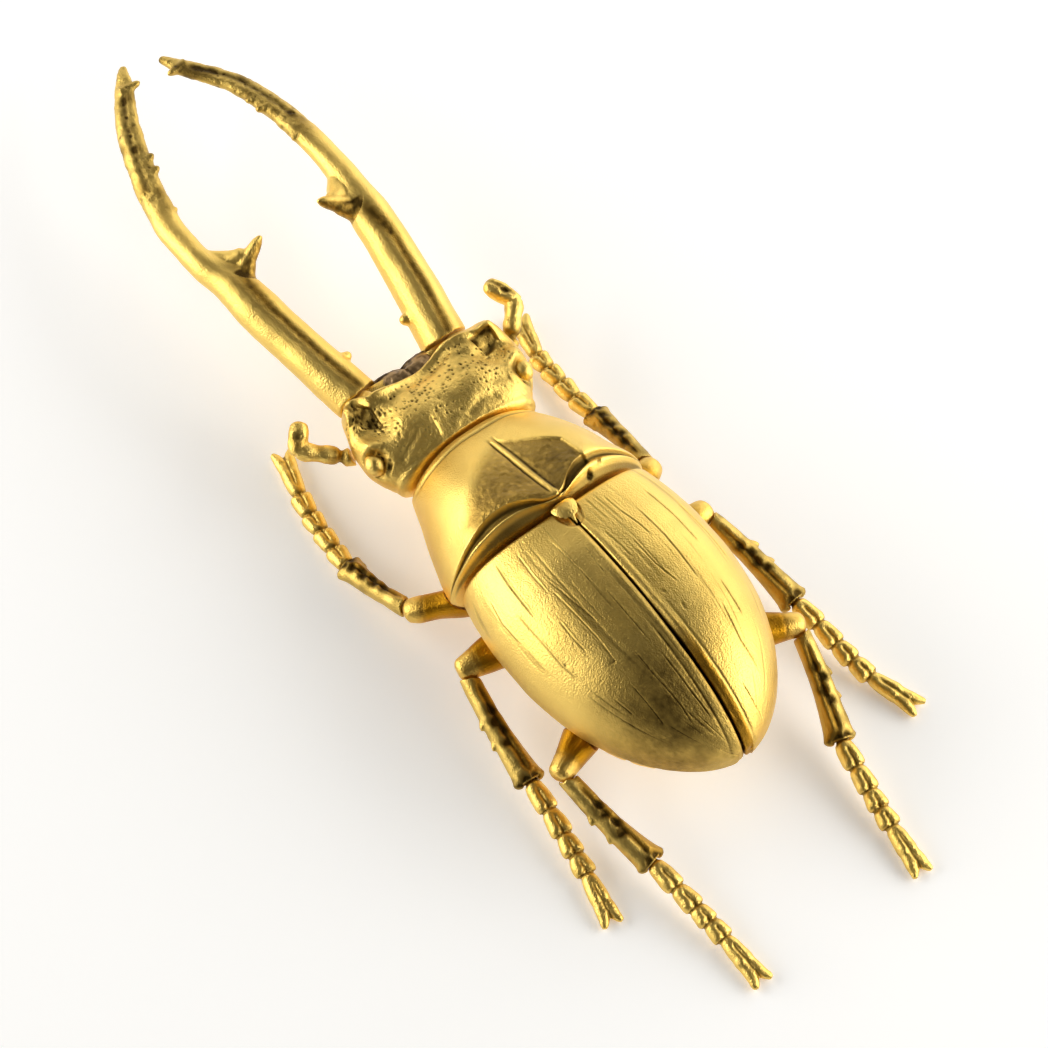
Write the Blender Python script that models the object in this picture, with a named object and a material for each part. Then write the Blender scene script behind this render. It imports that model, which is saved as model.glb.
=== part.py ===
"""A gilt cast stag beetle with long toothed jaws, standing on its feet: a desk ornament at life size.

Lengths are in millimetres and become metres where a mesh is made. The beetle faces -Y, X = 0 is its
middle plane, left is +X, and the surface that it stands on is Z = 0.
"""

import math

import bmesh
import bpy
import numpy as np
from mathutils import Matrix, Vector

MM = 0.001

# Driving dimensions
REAR_END = 40.2  # where the wing cases end, measured from the beetle's own zero
BACK_HEIGHT = 22.2  # top of the wing cases over the floor
RIM_HEIGHT = 11.0  # edge of the wing cases over the floor
BELLY_HEIGHT = 4.6
BODY_HALF_WIDTH = 14.8
GAP = 0.3  # between pieces that meet
FOOTPRINT_SHIFT = (1.4, 10.1)  # moves the middle of the footprint to the origin

# Seams across the body
NECK_SEAM = -12.2
WAIST_SEAM = 5.9
SEAM_BOW = 1.9  # how far the outer ends of the waist seam lie forward
HEAD_FRONT = -25.4

GOLD = (0.83, 0.61, 0.22, 1.0)
DARK_BRONZE = (0.16, 0.12, 0.07, 1.0)


def clear_scene():
    for obj in list(bpy.data.objects):
        bpy.data.objects.remove(obj)


def smooth_through(points):
    """A smooth function through (place, value) pairs that never overshoots them."""
    t, v = np.array(sorted(points), float).T
    slope = np.diff(v) / np.diff(t)
    tangent = np.zeros(len(t))
    tangent[0], tangent[-1] = slope[0], slope[-1]
    for i in range(1, len(t) - 1):
        if slope[i - 1] * slope[i] > 0:
            tangent[i] = 2 * slope[i - 1] * slope[i] / (slope[i - 1] + slope[i])

    def value(x):
        x = min(max(x, t[0]), t[-1])
        i = min(int(np.searchsorted(t, x, side="right")) - 1, len(t) - 2)
        h = t[i + 1] - t[i]
        s = (x - t[i]) / h
        start = (1 + 2 * s) * (1 - s) ** 2 * v[i] + s * (1 - s) ** 2 * h * tangent[i]
        end = s * s * (3 - 2 * s) * v[i + 1] + s * s * (s - 1) * h * tangent[i + 1]
        return float(start + end)

    return value


def bump(x, y, at, radius):
    """1 at a place on the plan, falling smoothly to 0 at a radius from it."""
    near = math.hypot(x - at[0], y - at[1]) / radius
    return (1 - near * near) ** 2 if near < 1 else 0.0


def mesh_object(name, bm, collection, material=None):
    bmesh.ops.remove_doubles(bm, verts=bm.verts, dist=1e-6)
    bmesh.ops.recalc_face_normals(bm, faces=bm.faces)
    bmesh.ops.triangulate(bm, faces=bm.faces)
    mesh = bpy.data.meshes.new(name)
    bm.to_mesh(mesh)
    bm.free()
    mesh.shade_smooth()
    obj = bpy.data.objects.new(name, mesh)
    collection.objects.link(obj)
    if material:
        mesh.materials.append(material)
    return obj


def loft(name, rings, collection, material=None):
    """A closed solid through rings of equal length, each a list of points in millimetres."""
    bm = bmesh.new()
    made = [[bm.verts.new(Vector(p) * MM) for p in ring] for ring in rings]
    for first, second in zip(made, made[1:]):
        for i in range(len(first)):
            j = (i + 1) % len(first)
            bm.faces.new((first[i], first[j], second[j], second[i]))
    for ring in (made[0], made[-1]):
        middle = bm.verts.new(sum((v.co for v in ring), Vector()) / len(ring))
        for i in range(len(ring)):
            bm.faces.new((ring[i], ring[(i + 1) % len(ring)], middle))
    return mesh_object(name, bm, collection, material)


def path_frames(points, upward):
    """(tangent, side, up) at each point of a path, with up as near to upward as it can be."""
    frames = []
    for i in range(len(points)):
        ahead = points[min(i + 1, len(points) - 1)] - points[max(i - 1, 0)]
        tangent = ahead.normalized()
        side = tangent.cross(upward).normalized()
        frames.append((tangent, side, side.cross(tangent).normalized()))
    return frames


def limb(name, path, sizes, sides, collection, material=None, upward=(0, 0, 1), sections=None, tilt=None):
    """A tapering limb. sizes has (place, half width, half height) with place from 0 to 1 along the path."""
    points = [Vector(p) for p in path]
    steps = [0.0]
    for a, b in zip(points, points[1:]):
        steps.append(steps[-1] + (b - a).length)
    along = [s / steps[-1] for s in steps]
    axes = [smooth_through([(t, p[k]) for t, p in zip(along, points)]) for k in range(3)]
    width = smooth_through([(s[0], s[1]) for s in sizes])
    height = smooth_through([(s[0], s[2]) for s in sizes])
    places = sections or [s[0] for s in sizes]
    line = [Vector([axis(t) for axis in axes]) for t in places]
    rings = []
    for t, centre, (tangent, side, up) in zip(places, line, path_frames(line, Vector(upward))):
        turn = Matrix.Rotation(math.radians(tilt(t)) if tilt else 0.0, 3, tangent)
        ring = []
        for k in range(sides):
            angle = 2 * math.pi * (k + 0.5) / sides
            offset = side * (width(t) * math.cos(angle)) + up * (height(t) * math.sin(angle))
            ring.append(centre + turn @ offset)
        rings.append(ring)
    return loft(name, rings, collection, material)


def spike(name, foot, tip, foot_radius, tip_radius, sides, collection):
    """A blunt cone from foot to tip."""
    foot, tip = Vector(foot), Vector(tip)
    bm = bmesh.new()
    turn = Vector((0, 0, 1)).rotation_difference(tip - foot).to_matrix().to_4x4()
    place = Matrix.Translation((foot + tip) / 2 * MM) @ turn
    length = (tip - foot).length * MM
    bmesh.ops.create_cone(bm, cap_ends=True, segments=sides, radius1=foot_radius * MM,
                          radius2=tip_radius * MM, depth=length, matrix=place)
    return mesh_object(name, bm, collection)


def ball(name, centre, radii, rings, collection, material=None):
    bm = bmesh.new()
    bmesh.ops.create_uvsphere(bm, u_segments=2 * rings, v_segments=rings, radius=MM)
    bmesh.ops.scale(bm, vec=Vector(radii), verts=bm.verts)
    bmesh.ops.translate(bm, vec=Vector(centre) * MM, verts=bm.verts)
    return mesh_object(name, bm, collection, material)


def keep_largest(mesh):
    """Drops all but the largest closed surface."""
    bm = bmesh.new()
    bm.from_mesh(mesh)
    bmesh.ops.remove_doubles(bm, verts=bm.verts, dist=2e-6)
    bmesh.ops.dissolve_degenerate(bm, edges=bm.edges, dist=2e-6)
    bmesh.ops.triangulate(bm, faces=bm.faces)
    left, islands = set(bm.verts), []
    while left:
        island, edge = set(), [left.pop()]
        while edge:
            vert = edge.pop()
            island.add(vert)
            near = {e.other_vert(vert) for e in vert.link_edges} & left
            left -= near
            edge.extend(near)
        islands.append(island)
    if len(islands) > 1:
        largest = max(islands, key=lambda verts: box_volume(verts))
        bmesh.ops.delete(bm, geom=[v for v in bm.verts if v not in largest], context="VERTS")
    bm.to_mesh(mesh)
    bm.free()


def box_volume(verts):
    spans = [max(v.co[k] for v in verts) - min(v.co[k] for v in verts) for k in range(3)]
    return spans[0] * spans[1] * spans[2]


def apply_boolean(obj, operation, others, solver="EXACT"):
    """Joins others to obj, or cuts them from it, and removes them."""
    group = bpy.data.collections.new(obj.name + "_pieces")
    bpy.context.scene.collection.children.link(group)
    for other in others:
        for owner in list(other.users_collection):
            owner.objects.unlink(other)
        group.objects.link(other)
    modifier = obj.modifiers.new(operation.lower(), "BOOLEAN")
    modifier.operation = operation
    modifier.operand_type = "COLLECTION"
    modifier.collection = group
    modifier.solver = solver
    graph = bpy.context.evaluated_depsgraph_get()
    made = bpy.data.meshes.new_from_object(obj.evaluated_get(graph))
    keep_largest(made)
    made.shade_smooth()
    obj.modifiers.clear()
    obj.data = made
    for other in others:
        bpy.data.objects.remove(other)
    bpy.data.collections.remove(group)


def grown_copy(obj, by):
    """A copy of a solid whose surface lies outside the first by this many millimetres."""
    bm = bmesh.new()
    bm.from_mesh(obj.data)
    bm.normal_update()
    moves = [(v, v.normal * by * MM * min(v.calc_shell_factor(), 1.6)) for v in bm.verts]
    for vert, move in moves:
        vert.co += move
    mesh = bpy.data.meshes.new(obj.name + "_grown")
    bm.to_mesh(mesh)
    bm.free()
    copy = bpy.data.objects.new(obj.name + "_grown", mesh)
    bpy.context.scene.collection.objects.link(copy)
    return copy


def trim(obj, *neighbours):
    """Cuts obj back so that it meets each neighbour face to face across the gap."""
    apply_boolean(obj, "DIFFERENCE", [grown_copy(n, GAP) for n in neighbours])


def flatten_feet(obj):
    """Cuts what lies under the floor off a foot."""
    bm = bmesh.new()
    bmesh.ops.create_cube(bm, size=0.4, matrix=Matrix.Translation((0, 0, -0.2)))
    floor = mesh_object("below_floor", bm, bpy.context.scene.collection)
    apply_boolean(obj, "DIFFERENCE", [floor])


def body_ring(y_of, half_width, top, rim, bottom, count, relief=None, fullness=2.0):
    """A ring across the body: an arched top over the rim and a shallower belly under it."""
    ring = []
    for k in range(count):
        angle = 2 * math.pi * k / count
        c, s = math.cos(angle), math.sin(angle)
        x = half_width * math.copysign(abs(c) ** (2 / fullness), c)
        rise = abs(s) ** (2 / fullness)
        z = rim + (top - rim) * rise if s >= 0 else rim - (rim - bottom) * rise
        y = y_of(x)
        if relief and s > 0:
            z += relief(x, y) * min(1.0, s * 2)
        ring.append((x, y, z))
    return ring


def waist_seam(x):
    return WAIST_SEAM - SEAM_BOW * (x / BODY_HALF_WIDTH) ** 2


def neck_seam(x):
    return NECK_SEAM + 1.1 * (x / 9.0) ** 2


# Head

HEAD_WIDTH = smooth_through([(HEAD_FRONT, 8.8), (-24.8, 9.8), (-23.8, 10.9), (-22.0, 11.6), (-19.0, 12.2),
                             (-16.5, 12.1), (-14.5, 11.3), (-13.0, 10.3), (-11.5, 9.3)])
HEAD_LEAN = smooth_through([(-26.0, -0.8), (-22.0, -0.8), (-18.0, -0.35), (-14.0, 0.0)])  # as cast
HEAD_TOP = smooth_through([(HEAD_FRONT, 11.3), (-24.6, 12.3), (-23.4, 13.0), (-21.0, 13.7), (-17.0, 14.6),
                           (-14.0, 14.3), (-11.5, 13.6)])
HEAD_RIM = smooth_through([(HEAD_FRONT, 9.2), (-22.0, 10.8), (-17.0, 10.6), (-11.5, 9.2)])
HEAD_BELLY = smooth_through([(HEAD_FRONT, 6.8), (-24.0, 5.7), (-18.0, 4.8), (-11.5, 5.0)])
HEAD_STATIONS = (-25.4, -25.1, -24.6, -24.0, -23.4, -22.7, -21.9, -21.0, -20.0, -18.8, -17.5, -16.2, -15.0,
                 -13.9, -12.9)
CORNER_PEAK = (10.4, -22.9)  # raised point over the root of each jaw
CORNER_RISE = 2.3


def head_relief(x, y):
    """Corner peaks, the ridges that run in from them, the hollow brow and the raised crown."""
    side = abs(x)
    height = CORNER_RISE * bump(side, y, CORNER_PEAK, 3.0)
    height += 0.9 * bump(side, y, (6.6, -23.2), 3.4)
    height -= 1.3 * bump(side, y, (0.0, -23.6), 4.6)
    height -= 0.8 * bump(side, y, (8.6, -19.4), 3.2)
    height += 0.8 * bump(side, y, (11.2, -17.2), 2.8)
    height += 0.4 * bump(side, y, (4.0, -17.0), 4.0)
    return height


def make_head(parts, material):
    rings = []
    for y in HEAD_STATIONS:
        ring = body_ring(lambda x, y=y: y, HEAD_WIDTH(y), HEAD_TOP(y), HEAD_RIM(y), HEAD_BELLY(y), 36,
                         head_relief, 2.3)
        rings.append([(x + HEAD_LEAN(y), y, z) for x, y, z in ring])
    last = NECK_SEAM - GAP
    rings.append(body_ring(lambda x: neck_seam(x) - GAP, HEAD_WIDTH(last), HEAD_TOP(last), HEAD_RIM(last),
                           HEAD_BELLY(last), 36, None, 2.3))
    return loft("head", rings, parts, material)


def make_lip(parts, material):
    """The dark two-lobed lip between the jaws."""
    rings = []
    for y, half_width, half_height in ((-22.0, 4.4, 1.2), (-24.0, 4.4, 1.5), (-25.2, 4.2, 1.3),
                                       (-25.7, 3.9, 0.9), (-26.0, 3.4, 0.5)):
        ring = []
        for k in range(20):
            angle = 2 * math.pi * k / 20
            x = half_width * math.cos(angle)
            notch = 0.9 * bump(x, 0.0, (0.0, 0.0), 2.4) if y < -25 else 0.0
            ring.append((x, y + notch, 9.9 + half_height * math.sin(angle)))
        rings.append(ring)
    return loft("lip", rings, parts, material)


def make_eye(name, side, parts, material):
    return ball(name, (side * 10.9, -15.9, 11.4), (1.2, 1.4, 1.2), 7, parts, material)


# Jaws

JAW_PATH = [(5.7, -22.0, 9.2), (6.8, -27.0, 9.9), (7.6, -31.5, 10.4), (8.5, -37.0, 11.1), (9.2, -42.0, 11.8),
            (9.65, -46.0, 12.3), (10.55, -50.5, 12.7), (10.75, -55.0, 12.8), (10.0, -61.7, 12.8),
            (8.6, -67.5, 12.8), (7.7, -70.2, 12.8), (6.2, -73.3, 12.8), (4.2, -76.6, 12.8), (2.2, -80.3, 12.8)]
# both jaws lean towards the beetle's left beyond their main teeth, as cast
JAW_LEAN = smooth_through([(-22.0, 0.0), (-40.0, 0.1), (-46.0, 0.15), (-50.5, 0.68), (-56.0, 0.8),
                           (-61.7, 0.55), (-70.0, 0.3), (-76.5, 0.55), (-81.0, 0.2)])
# share of the length, half breadth, half thickness of the section
JAW_SIZES = [(0.0, 3.0, 2.7), (0.1, 3.0, 2.75), (0.24, 2.85, 2.6), (0.34, 2.75, 2.5), (0.4, 2.55, 2.4),
             (0.45, 2.1, 2.0), (0.5, 1.8, 1.75), (0.56, 1.75, 1.5), (0.65, 1.8, 1.25), (0.75, 1.75, 1.1),
             (0.85, 1.6, 0.95), (0.94, 1.35, 0.8), (0.98, 0.85, 0.6), (1.0, 0.45, 0.4)]
# beyond the main tooth the section flattens and its broad face turns up and outwards, in degrees
JAW_TILT = smooth_through([(0.0, 0.0), (0.48, 0.0), (0.62, 15.0), (0.8, 20.0), (1.0, 22.0)])
# foot, tip, foot radius, tip radius of each tooth on the inner side, and the lean of its tip
JAW_TEETH = [((5.9, -30.4, 10.3), (3.6, -30.7, 10.9), 1.5, 0.55, 0.0),
             ((8.9, -46.4, 12.2), (4.5, -48.6, 15.2), 2.0, 0.35, -0.55),
             ((9.9, -58.6, 13.0), (8.4, -58.8, 13.4), 0.8, 0.35, 0.0),
             ((8.9, -64.6, 13.2), (7.1, -64.9, 13.7), 0.9, 0.4, 0.0),
             ((8.4, -66.6, 13.2), (6.7, -66.8, 13.7), 0.9, 0.4, 0.0),
             ((4.0, -77.0, 13.1), (1.6, -76.8, 13.5), 0.9, 0.4, 0.0)]
# the beetle's right jaw is a little shorter than its left one, most of it near the tip
JAW_SHORT = {1: 0.0, -1: 1.6}


def shortened(side, x, y, z):
    """Where a point of the common jaw line lies on the jaw of this side."""
    back = max(0.0, (-46.0 - y) / 34.0) ** 3
    return (side * x + JAW_LEAN(y), y + JAW_SHORT[side] * back, z)


def make_jaw(name, side, parts, material, head):
    path = [shortened(side, *point) for point in JAW_PATH]
    sections = [i / 26 for i in range(26)] + [0.985, 1.0]
    jaw = limb(name, path, JAW_SIZES, 12, parts, material, sections=sections,
               tilt=lambda t: -side * JAW_TILT(t))
    teeth = []
    for i, (foot, tip, foot_radius, tip_radius, lean) in enumerate(JAW_TEETH):
        foot, tip = Vector(shortened(side, *foot)), Vector(shortened(side, *tip))
        tip.x += lean
        teeth.append(spike(f"{name}_tooth_{i}", foot, tip, foot_radius, tip_radius, 8, parts))
    apply_boolean(jaw, "UNION", teeth)
    trim(jaw, head)
    return jaw


# Feelers

FEELERS = {
    "left": {"root": (11.0, -19.4, 8.7), "elbow": (16.6, -23.6, 10.4), "tip": (14.4, -26.2, 11.5)},
    "right": {"root": (-12.4, -20.6, 8.7), "elbow": (-16.6, -25.1, 10.4), "tip": (-14.7, -28.6, 11.5)},
}
STEM_SIZES = [(0.0, 0.9, 0.9), (0.2, 1.05, 1.05), (0.28, 0.75, 0.75), (0.34, 1.1, 1.1), (0.6, 1.1, 1.05),
              (0.9, 1.15, 1.1), (1.0, 0.9, 0.9)]
CLUB_SIZES = [(0.0, 0.7, 0.7), (0.14, 1.0, 0.95), (0.3, 1.15, 1.1), (0.6, 1.25, 1.1), (0.85, 1.1, 0.9),
              (0.96, 0.75, 0.6), (1.0, 0.4, 0.35)]


def make_feeler(hand, parts, material, head):
    """A stem that leaves the head in front of the eye, and a flat club that turns forward from its end."""
    places = {key: Vector(value) for key, value in FEELERS[hand].items()}
    root, elbow, tip = places["root"], places["elbow"], places["tip"]
    feeler = limb(f"feeler_{hand}", [root, (root + elbow) / 2, elbow], STEM_SIZES, 10, parts, material)
    start = elbow + (elbow - tip).normalized() * 0.5
    club = limb(f"feeler_{hand}_club", [start, (elbow + tip) / 2, tip], CLUB_SIZES, 10, parts)
    apply_boolean(feeler, "UNION", [club])
    trim(feeler, head)
    return feeler


# Neck shield

SHIELD_WIDTH = smooth_through([(-12.4, 9.2), (-11.0, 9.7), (-8.0, 10.7), (-4.5, 12.0), (-1.0, 13.1),
                               (1.5, 13.8), (3.5, 14.1), (5.9, 13.4)])
SHIELD_TOP = smooth_through([(-12.4, 13.9), (-11.0, 15.3), (-8.0, 17.5), (-4.0, 19.5), (0.0, 21.1),
                             (3.0, 22.2), (5.9, 22.4)])
SHIELD_RIM = smooth_through([(-12.4, 8.8), (5.9, 10.0)])
SHIELD_BELLY = smooth_through([(-12.4, 5.2), (-6.0, BELLY_HEIGHT), (5.9, BELLY_HEIGHT)])
# where the back of the shield ends: a lobe in the middle, a bay each side, and out to the hind corners
SHIELD_EDGE = smooth_through([(0.0, 5.0), (1.2, 4.7), (2.8, 3.5), (5.0, 2.3), (7.5, 1.9), (10.5, 2.3),
                              (13.0, 3.0), (15.0, 3.4)])
# the rolled edge behind it: share of the way to the wing cases, and how far it lies under the shield
EDGE_STEPS = ((0.0, 0.0), (0.07, 0.75), (0.28, 0.95), (0.36, 0.35), (0.5, 0.3), (0.58, 1.0), (1.0, 1.4))


def shield_relief(x, y):
    """The groove along the middle, the swell beside it and the dimple of each flank."""
    groove = math.exp(-((x / 0.7) ** 2)) * bump(0.0, y, (0.0, -2.0), 8.0)
    flank = bump(abs(x), y, (11.2, 0.6), 3.6)
    swell = bump(abs(x), y, (7.5, -4.0), 6.0)
    return -0.6 * groove - 0.4 * flank + 0.4 * swell


def make_neck_shield(parts, material):
    rings = []
    for i in range(15):
        share = i / 15

        def y_of(x, share=share):
            return neck_seam(x) * (1 - share) + SHIELD_EDGE(abs(x)) * share

        y = NECK_SEAM + (3.4 - NECK_SEAM) * share
        rings.append(body_ring(y_of, SHIELD_WIDTH(y), SHIELD_TOP(y), SHIELD_RIM(y), SHIELD_BELLY(y), 40,
                               shield_relief, 2.1))
    for share, drop in EDGE_STEPS:
        y = 3.4 + (WAIST_SEAM - GAP - 3.4) * share

        def y_of(x, share=share):
            return SHIELD_EDGE(abs(x)) * (1 - share) + (waist_seam(x) - GAP) * share

        rings.append(body_ring(y_of, SHIELD_WIDTH(y), SHIELD_TOP(y), SHIELD_RIM(y), SHIELD_BELLY(y), 40,
                               lambda x, y, drop=drop: -drop, 2.1))
    return loft("neck_shield", rings, parts, material)


# Wing cases, breast and belly

CASE_WIDTH = smooth_through([(3.5, 11.9), (5.0, 12.9), (6.5, 13.6), (9.5, 14.4), (13.5, 14.8),
                             (18.0, BODY_HALF_WIDTH), (22.0, 14.4), (26.0, 13.6), (30.0, 12.1), (33.5, 10.1),
                             (36.5, 7.6), (38.6, 5.0), (39.8, 2.7), (REAR_END, 1.3)])
CASE_TOP = smooth_through([(3.5, 20.0), (6.0, 20.8), (8.0, 21.2), (13.0, 22.0), (19.0, BACK_HEIGHT), (25.0, 21.8),
                           (30.0, 20.8), (34.0, 19.2), (37.0, 17.3), (39.2, 15.0), (REAR_END, 13.4)])
CASE_STATIONS = (5.9, 7.0, 8.4, 10.2, 12.5, 15.0, 17.5, 20.0, 22.5, 25.0, 27.3, 29.5, 31.5, 33.3, 35.0, 36.5,
                 37.7, 38.7, 39.5, REAR_END)
SUTURE_WIDTH = smooth_through([(5.0, 0.25), (18.0, 0.3), (28.0, 0.5), (36.0, 0.7), (REAR_END, 0.75)])
CASE_FULLNESS = 2.25


def make_wing_case(name, side, parts, material):
    """Half of the back: a dome from the groove in the middle out to the rim, solid down to the rim."""
    inner = GAP / 2
    rings = []
    for y in CASE_STATIONS:
        fade = max(0.0, 1 - (y - CASE_STATIONS[0]) / 6)  # the front stations follow the bowed seam
        half_width, top, groove = CASE_WIDTH(y), CASE_TOP(y), SUTURE_WIDTH(y)
        points = [(inner, RIM_HEIGHT + GAP), (inner, top - 0.9)]
        for k in range(15):
            angle = math.pi / 2 * k / 14
            x = inner + groove + (half_width - inner - groove) * math.sin(angle) ** (2 / CASE_FULLNESS)
            z = RIM_HEIGHT + (top - RIM_HEIGHT) * math.cos(angle) ** (2 / CASE_FULLNESS)
            points.append((x, max(z, RIM_HEIGHT + 0.1)))
        points.append((half_width - 0.5, RIM_HEIGHT - 0.3))
        points.append((half_width * 0.88, RIM_HEIGHT + GAP))
        bow = fade * fade * SEAM_BOW
        rings.append([(side * x, y - bow * (x / BODY_HALF_WIDTH) ** 2, z) for x, z in points])
    return loft(name, rings, parts, material)


def make_scutellum(parts, material, neighbours):
    """The small rounded plate at the front of the suture."""
    plate = ball("scutellum", (0.0, 6.9, 19.7), (2.5, 2.9, 1.95), 8, parts, material)
    trim(plate, *neighbours)
    return plate


TRUNK_WIDTH = smooth_through([(3.5, 11.2), (5.9, 12.4), (8.0, 13.2), (14.0, 14.0), (20.0, 13.9), (26.0, 12.8), (31.0, 10.9),
                              (35.0, 8.1), (37.5, 5.3), (39.4, 2.0)])
TRUNK_BELLY = smooth_through([(3.5, BELLY_HEIGHT), (14.0, 4.2), (19.0, 4.4), (26.0, 5.4), (33.0, 7.0),
                              (37.5, 8.6), (39.4, 9.8)])
BELLY_RINGS = (20.6, 24.4, 28.0, 31.4, 34.4)  # edges of the belly plates


def trunk_ring(y, shrink=0.0):
    half_width, bottom = TRUNK_WIDTH(y) - shrink, TRUNK_BELLY(y) + shrink
    return body_ring(lambda x: y, half_width, RIM_HEIGHT - 0.6, RIM_HEIGHT - 0.9, bottom, 28, None, 2.3)


def make_breast(parts, material):
    """The rear breast between the neck shield and the belly plates."""
    first = WAIST_SEAM
    rings = [body_ring(waist_seam, TRUNK_WIDTH(first), RIM_HEIGHT - 0.6, RIM_HEIGHT - 0.9, TRUNK_BELLY(first),
                       28, None, 2.3)]
    rings += [trunk_ring(y) for y in (7.5, 10.0, 13.0, 16.0)]
    rings.append(trunk_ring(17.0, 0.3))
    return loft("breast", rings, parts, material)


def make_belly(parts, material):
    """The belly in one piece, its plates stepped like tiles."""
    rings = [trunk_ring(17.0 + GAP, 0.3), trunk_ring(17.9)]
    for y in BELLY_RINGS:
        rings.append(trunk_ring(y))
        rings.append(trunk_ring(y + 0.25, 0.35))
    rings += [trunk_ring(36.6), trunk_ring(38.2), trunk_ring(39.2)]
    return loft("belly", rings, parts, material)


# Legs: where each joint lies as cast, with the ends of the five joints of the foot
LEGS = {
    "front_left": {"hip": (8.6, 4.9, 7.1), "knee": (16.9, -0.6, 5.0), "ankle": (18.6, -11.2, 2.2),
                   "foot": [(18.3, -14.3, 1.6), (18.0, -17.3, 1.3), (17.7, -20.0, 1.15), (17.1, -23.1, 1.0),
                            (16.0, -27.0, 0.9)]},
    "front_right": {"hip": (-8.6, 4.9, 7.1), "knee": (-17.2, 0.9, 5.0), "ankle": (-17.6, -10.4, 2.2),
                    "foot": [(-17.3, -13.9, 1.6), (-17.4, -16.8, 1.3), (-17.4, -19.4, 1.15), (-17.5, -21.8, 1.0),
                             (-18.4, -25.3, 0.9)]},
    "mid_left": {"hip": (8.0, 11.2, 7.7), "knee": (17.2, 10.1, 6.9), "ankle": (18.7, 24.8, 3.2),
                 "foot": [(19.0, 28.7, 2.6), (19.4, 32.0, 2.1), (19.8, 34.7, 1.8), (20.1, 37.3, 1.3),
                          (20.8, 41.3, 0.9)]},
    "mid_right": {"hip": (-8.0, 11.2, 7.7), "knee": (-17.8, 10.2, 6.9), "ankle": (-20.3, 24.6, 3.2),
                  "foot": [(-20.9, 28.3, 2.6), (-21.1, 31.5, 2.1), (-21.3, 34.2, 1.8), (-21.8, 36.9, 1.3),
                           (-23.2, 41.0, 0.9)]},
    "hind_left": {"hip": (6.6, 23.6, 8.2), "knee": (16.7, 27.9, 8.1), "ankle": (13.8, 41.3, 3.2),
                  "foot": [(13.4, 45.2, 2.6), (13.0, 48.3, 2.1), (12.8, 50.6, 1.8), (12.5, 53.0, 1.3),
                           (12.3, 57.2, 0.9)]},
    "hind_right": {"hip": (-6.6, 24.4, 8.2), "knee": (-16.7, 29.2, 8.1), "ankle": (-13.1, 42.1, 3.2),
                   "foot": [(-12.6, 45.6, 2.6), (-12.1, 48.7, 2.1), (-11.7, 51.1, 1.8), (-11.5, 53.5, 1.3),
                            (-11.1, 57.5, 0.9)]},
}
THIGH_WIDTH = {"front": 0.72, "mid": 1.0, "hind": 1.0}
SHIN_TEETH = {"front": (0.45, 0.62, 0.79), "mid": (0.42, 0.6), "hind": (0.4, 0.6)}
TOOTH_HEIGHT = {"front": 0.75, "mid": 1.7, "hind": 1.7}
SHIN_WIDTH = {"front": 0.86, "mid": 1.0, "hind": 1.0}
CLAW_LENGTH = 2.7
CLAW_SPREAD = 1.05


def make_thigh(name, leg, share, parts, material, neighbours):
    hip, knee = Vector(leg["hip"]), Vector(leg["knee"])
    middle = (hip + knee) / 2 + Vector((0, 0, 0.3))
    over = (knee - hip).normalized() * 0.9
    sizes = [(0.0, 2.5 * share, 1.9), (0.35, 2.6 * share, 2.0), (0.6, 2.2 * share, 1.85),
             (0.82, 1.7, 1.6), (0.94, 1.5, 1.4), (1.0, 0.8, 0.8)]
    thigh = limb(name, [hip, middle, knee + over], sizes, 12, parts, material)
    trim(thigh, *neighbours)
    return thigh


def make_shin(name, leg, teeth_at, tooth_height, share, parts, material, thigh):
    """A shin that widens to the ankle, with teeth on its outer edge and a flared end."""
    knee, ankle = Vector(leg["knee"]), Vector(leg["ankle"])
    outward = Vector((math.copysign(1, knee.x), 0, 0))
    bow = (knee + ankle) / 2 + outward * 0.3
    sizes = [(0.0, 0.9, 0.9), (0.08, 1.15, 1.15), (0.3, 1.25 * share, 1.2), (0.5, 1.35 * share, 1.25),
             (0.7, 1.5 * share, 1.3), (0.88, 1.7 * share, 1.4), (0.97, 1.85 * share, 1.45), (1.0, 1.6 * share, 1.2)]
    shin = limb(name, [knee, bow, ankle], sizes, 10, parts, material)
    run = (ankle - knee).normalized()
    out = (outward - run * outward.dot(run)).normalized()
    teeth = []
    for i, place in enumerate(teeth_at):
        foot = knee.lerp(ankle, place) + out * 0.3
        tip = foot + out * tooth_height + run * 1.0
        teeth.append(spike(f"{name}_tooth_{i}", foot - run * 0.6, tip, 1.1 * share, 0.3, 8, parts))
    for way in (-1, 1):
        foot = ankle - run * 1.3 + out * way * 0.8 * share
        tip = ankle + run * 0.3 + out * way * 1.9 * share
        teeth.append(spike(f"{name}_spur_{way + 1}", foot, tip, 0.9, 0.3, 8, parts))
    apply_boolean(shin, "UNION", teeth)
    trim(shin, thigh)
    return shin


def foot_sizes(ends):
    """Each joint of a foot starts narrow and flares to its end. ends are shares of the foot's length."""
    sizes, start = [], 0.0
    for i, end in enumerate(ends):
        flare = 1.42 if i < 4 else 1.3
        reach = end - start
        sizes.append((start + (0.14 * reach if i else 0.0), 0.95, 0.85))
        sizes.append((start + 0.5 * reach, 1.2, 1.0))
        sizes.append((start + 0.88 * reach, flare, 1.1))
        if i == 4:
            sizes.append((1.0, 0.95, 0.85))
        start = end
    return sizes


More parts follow.
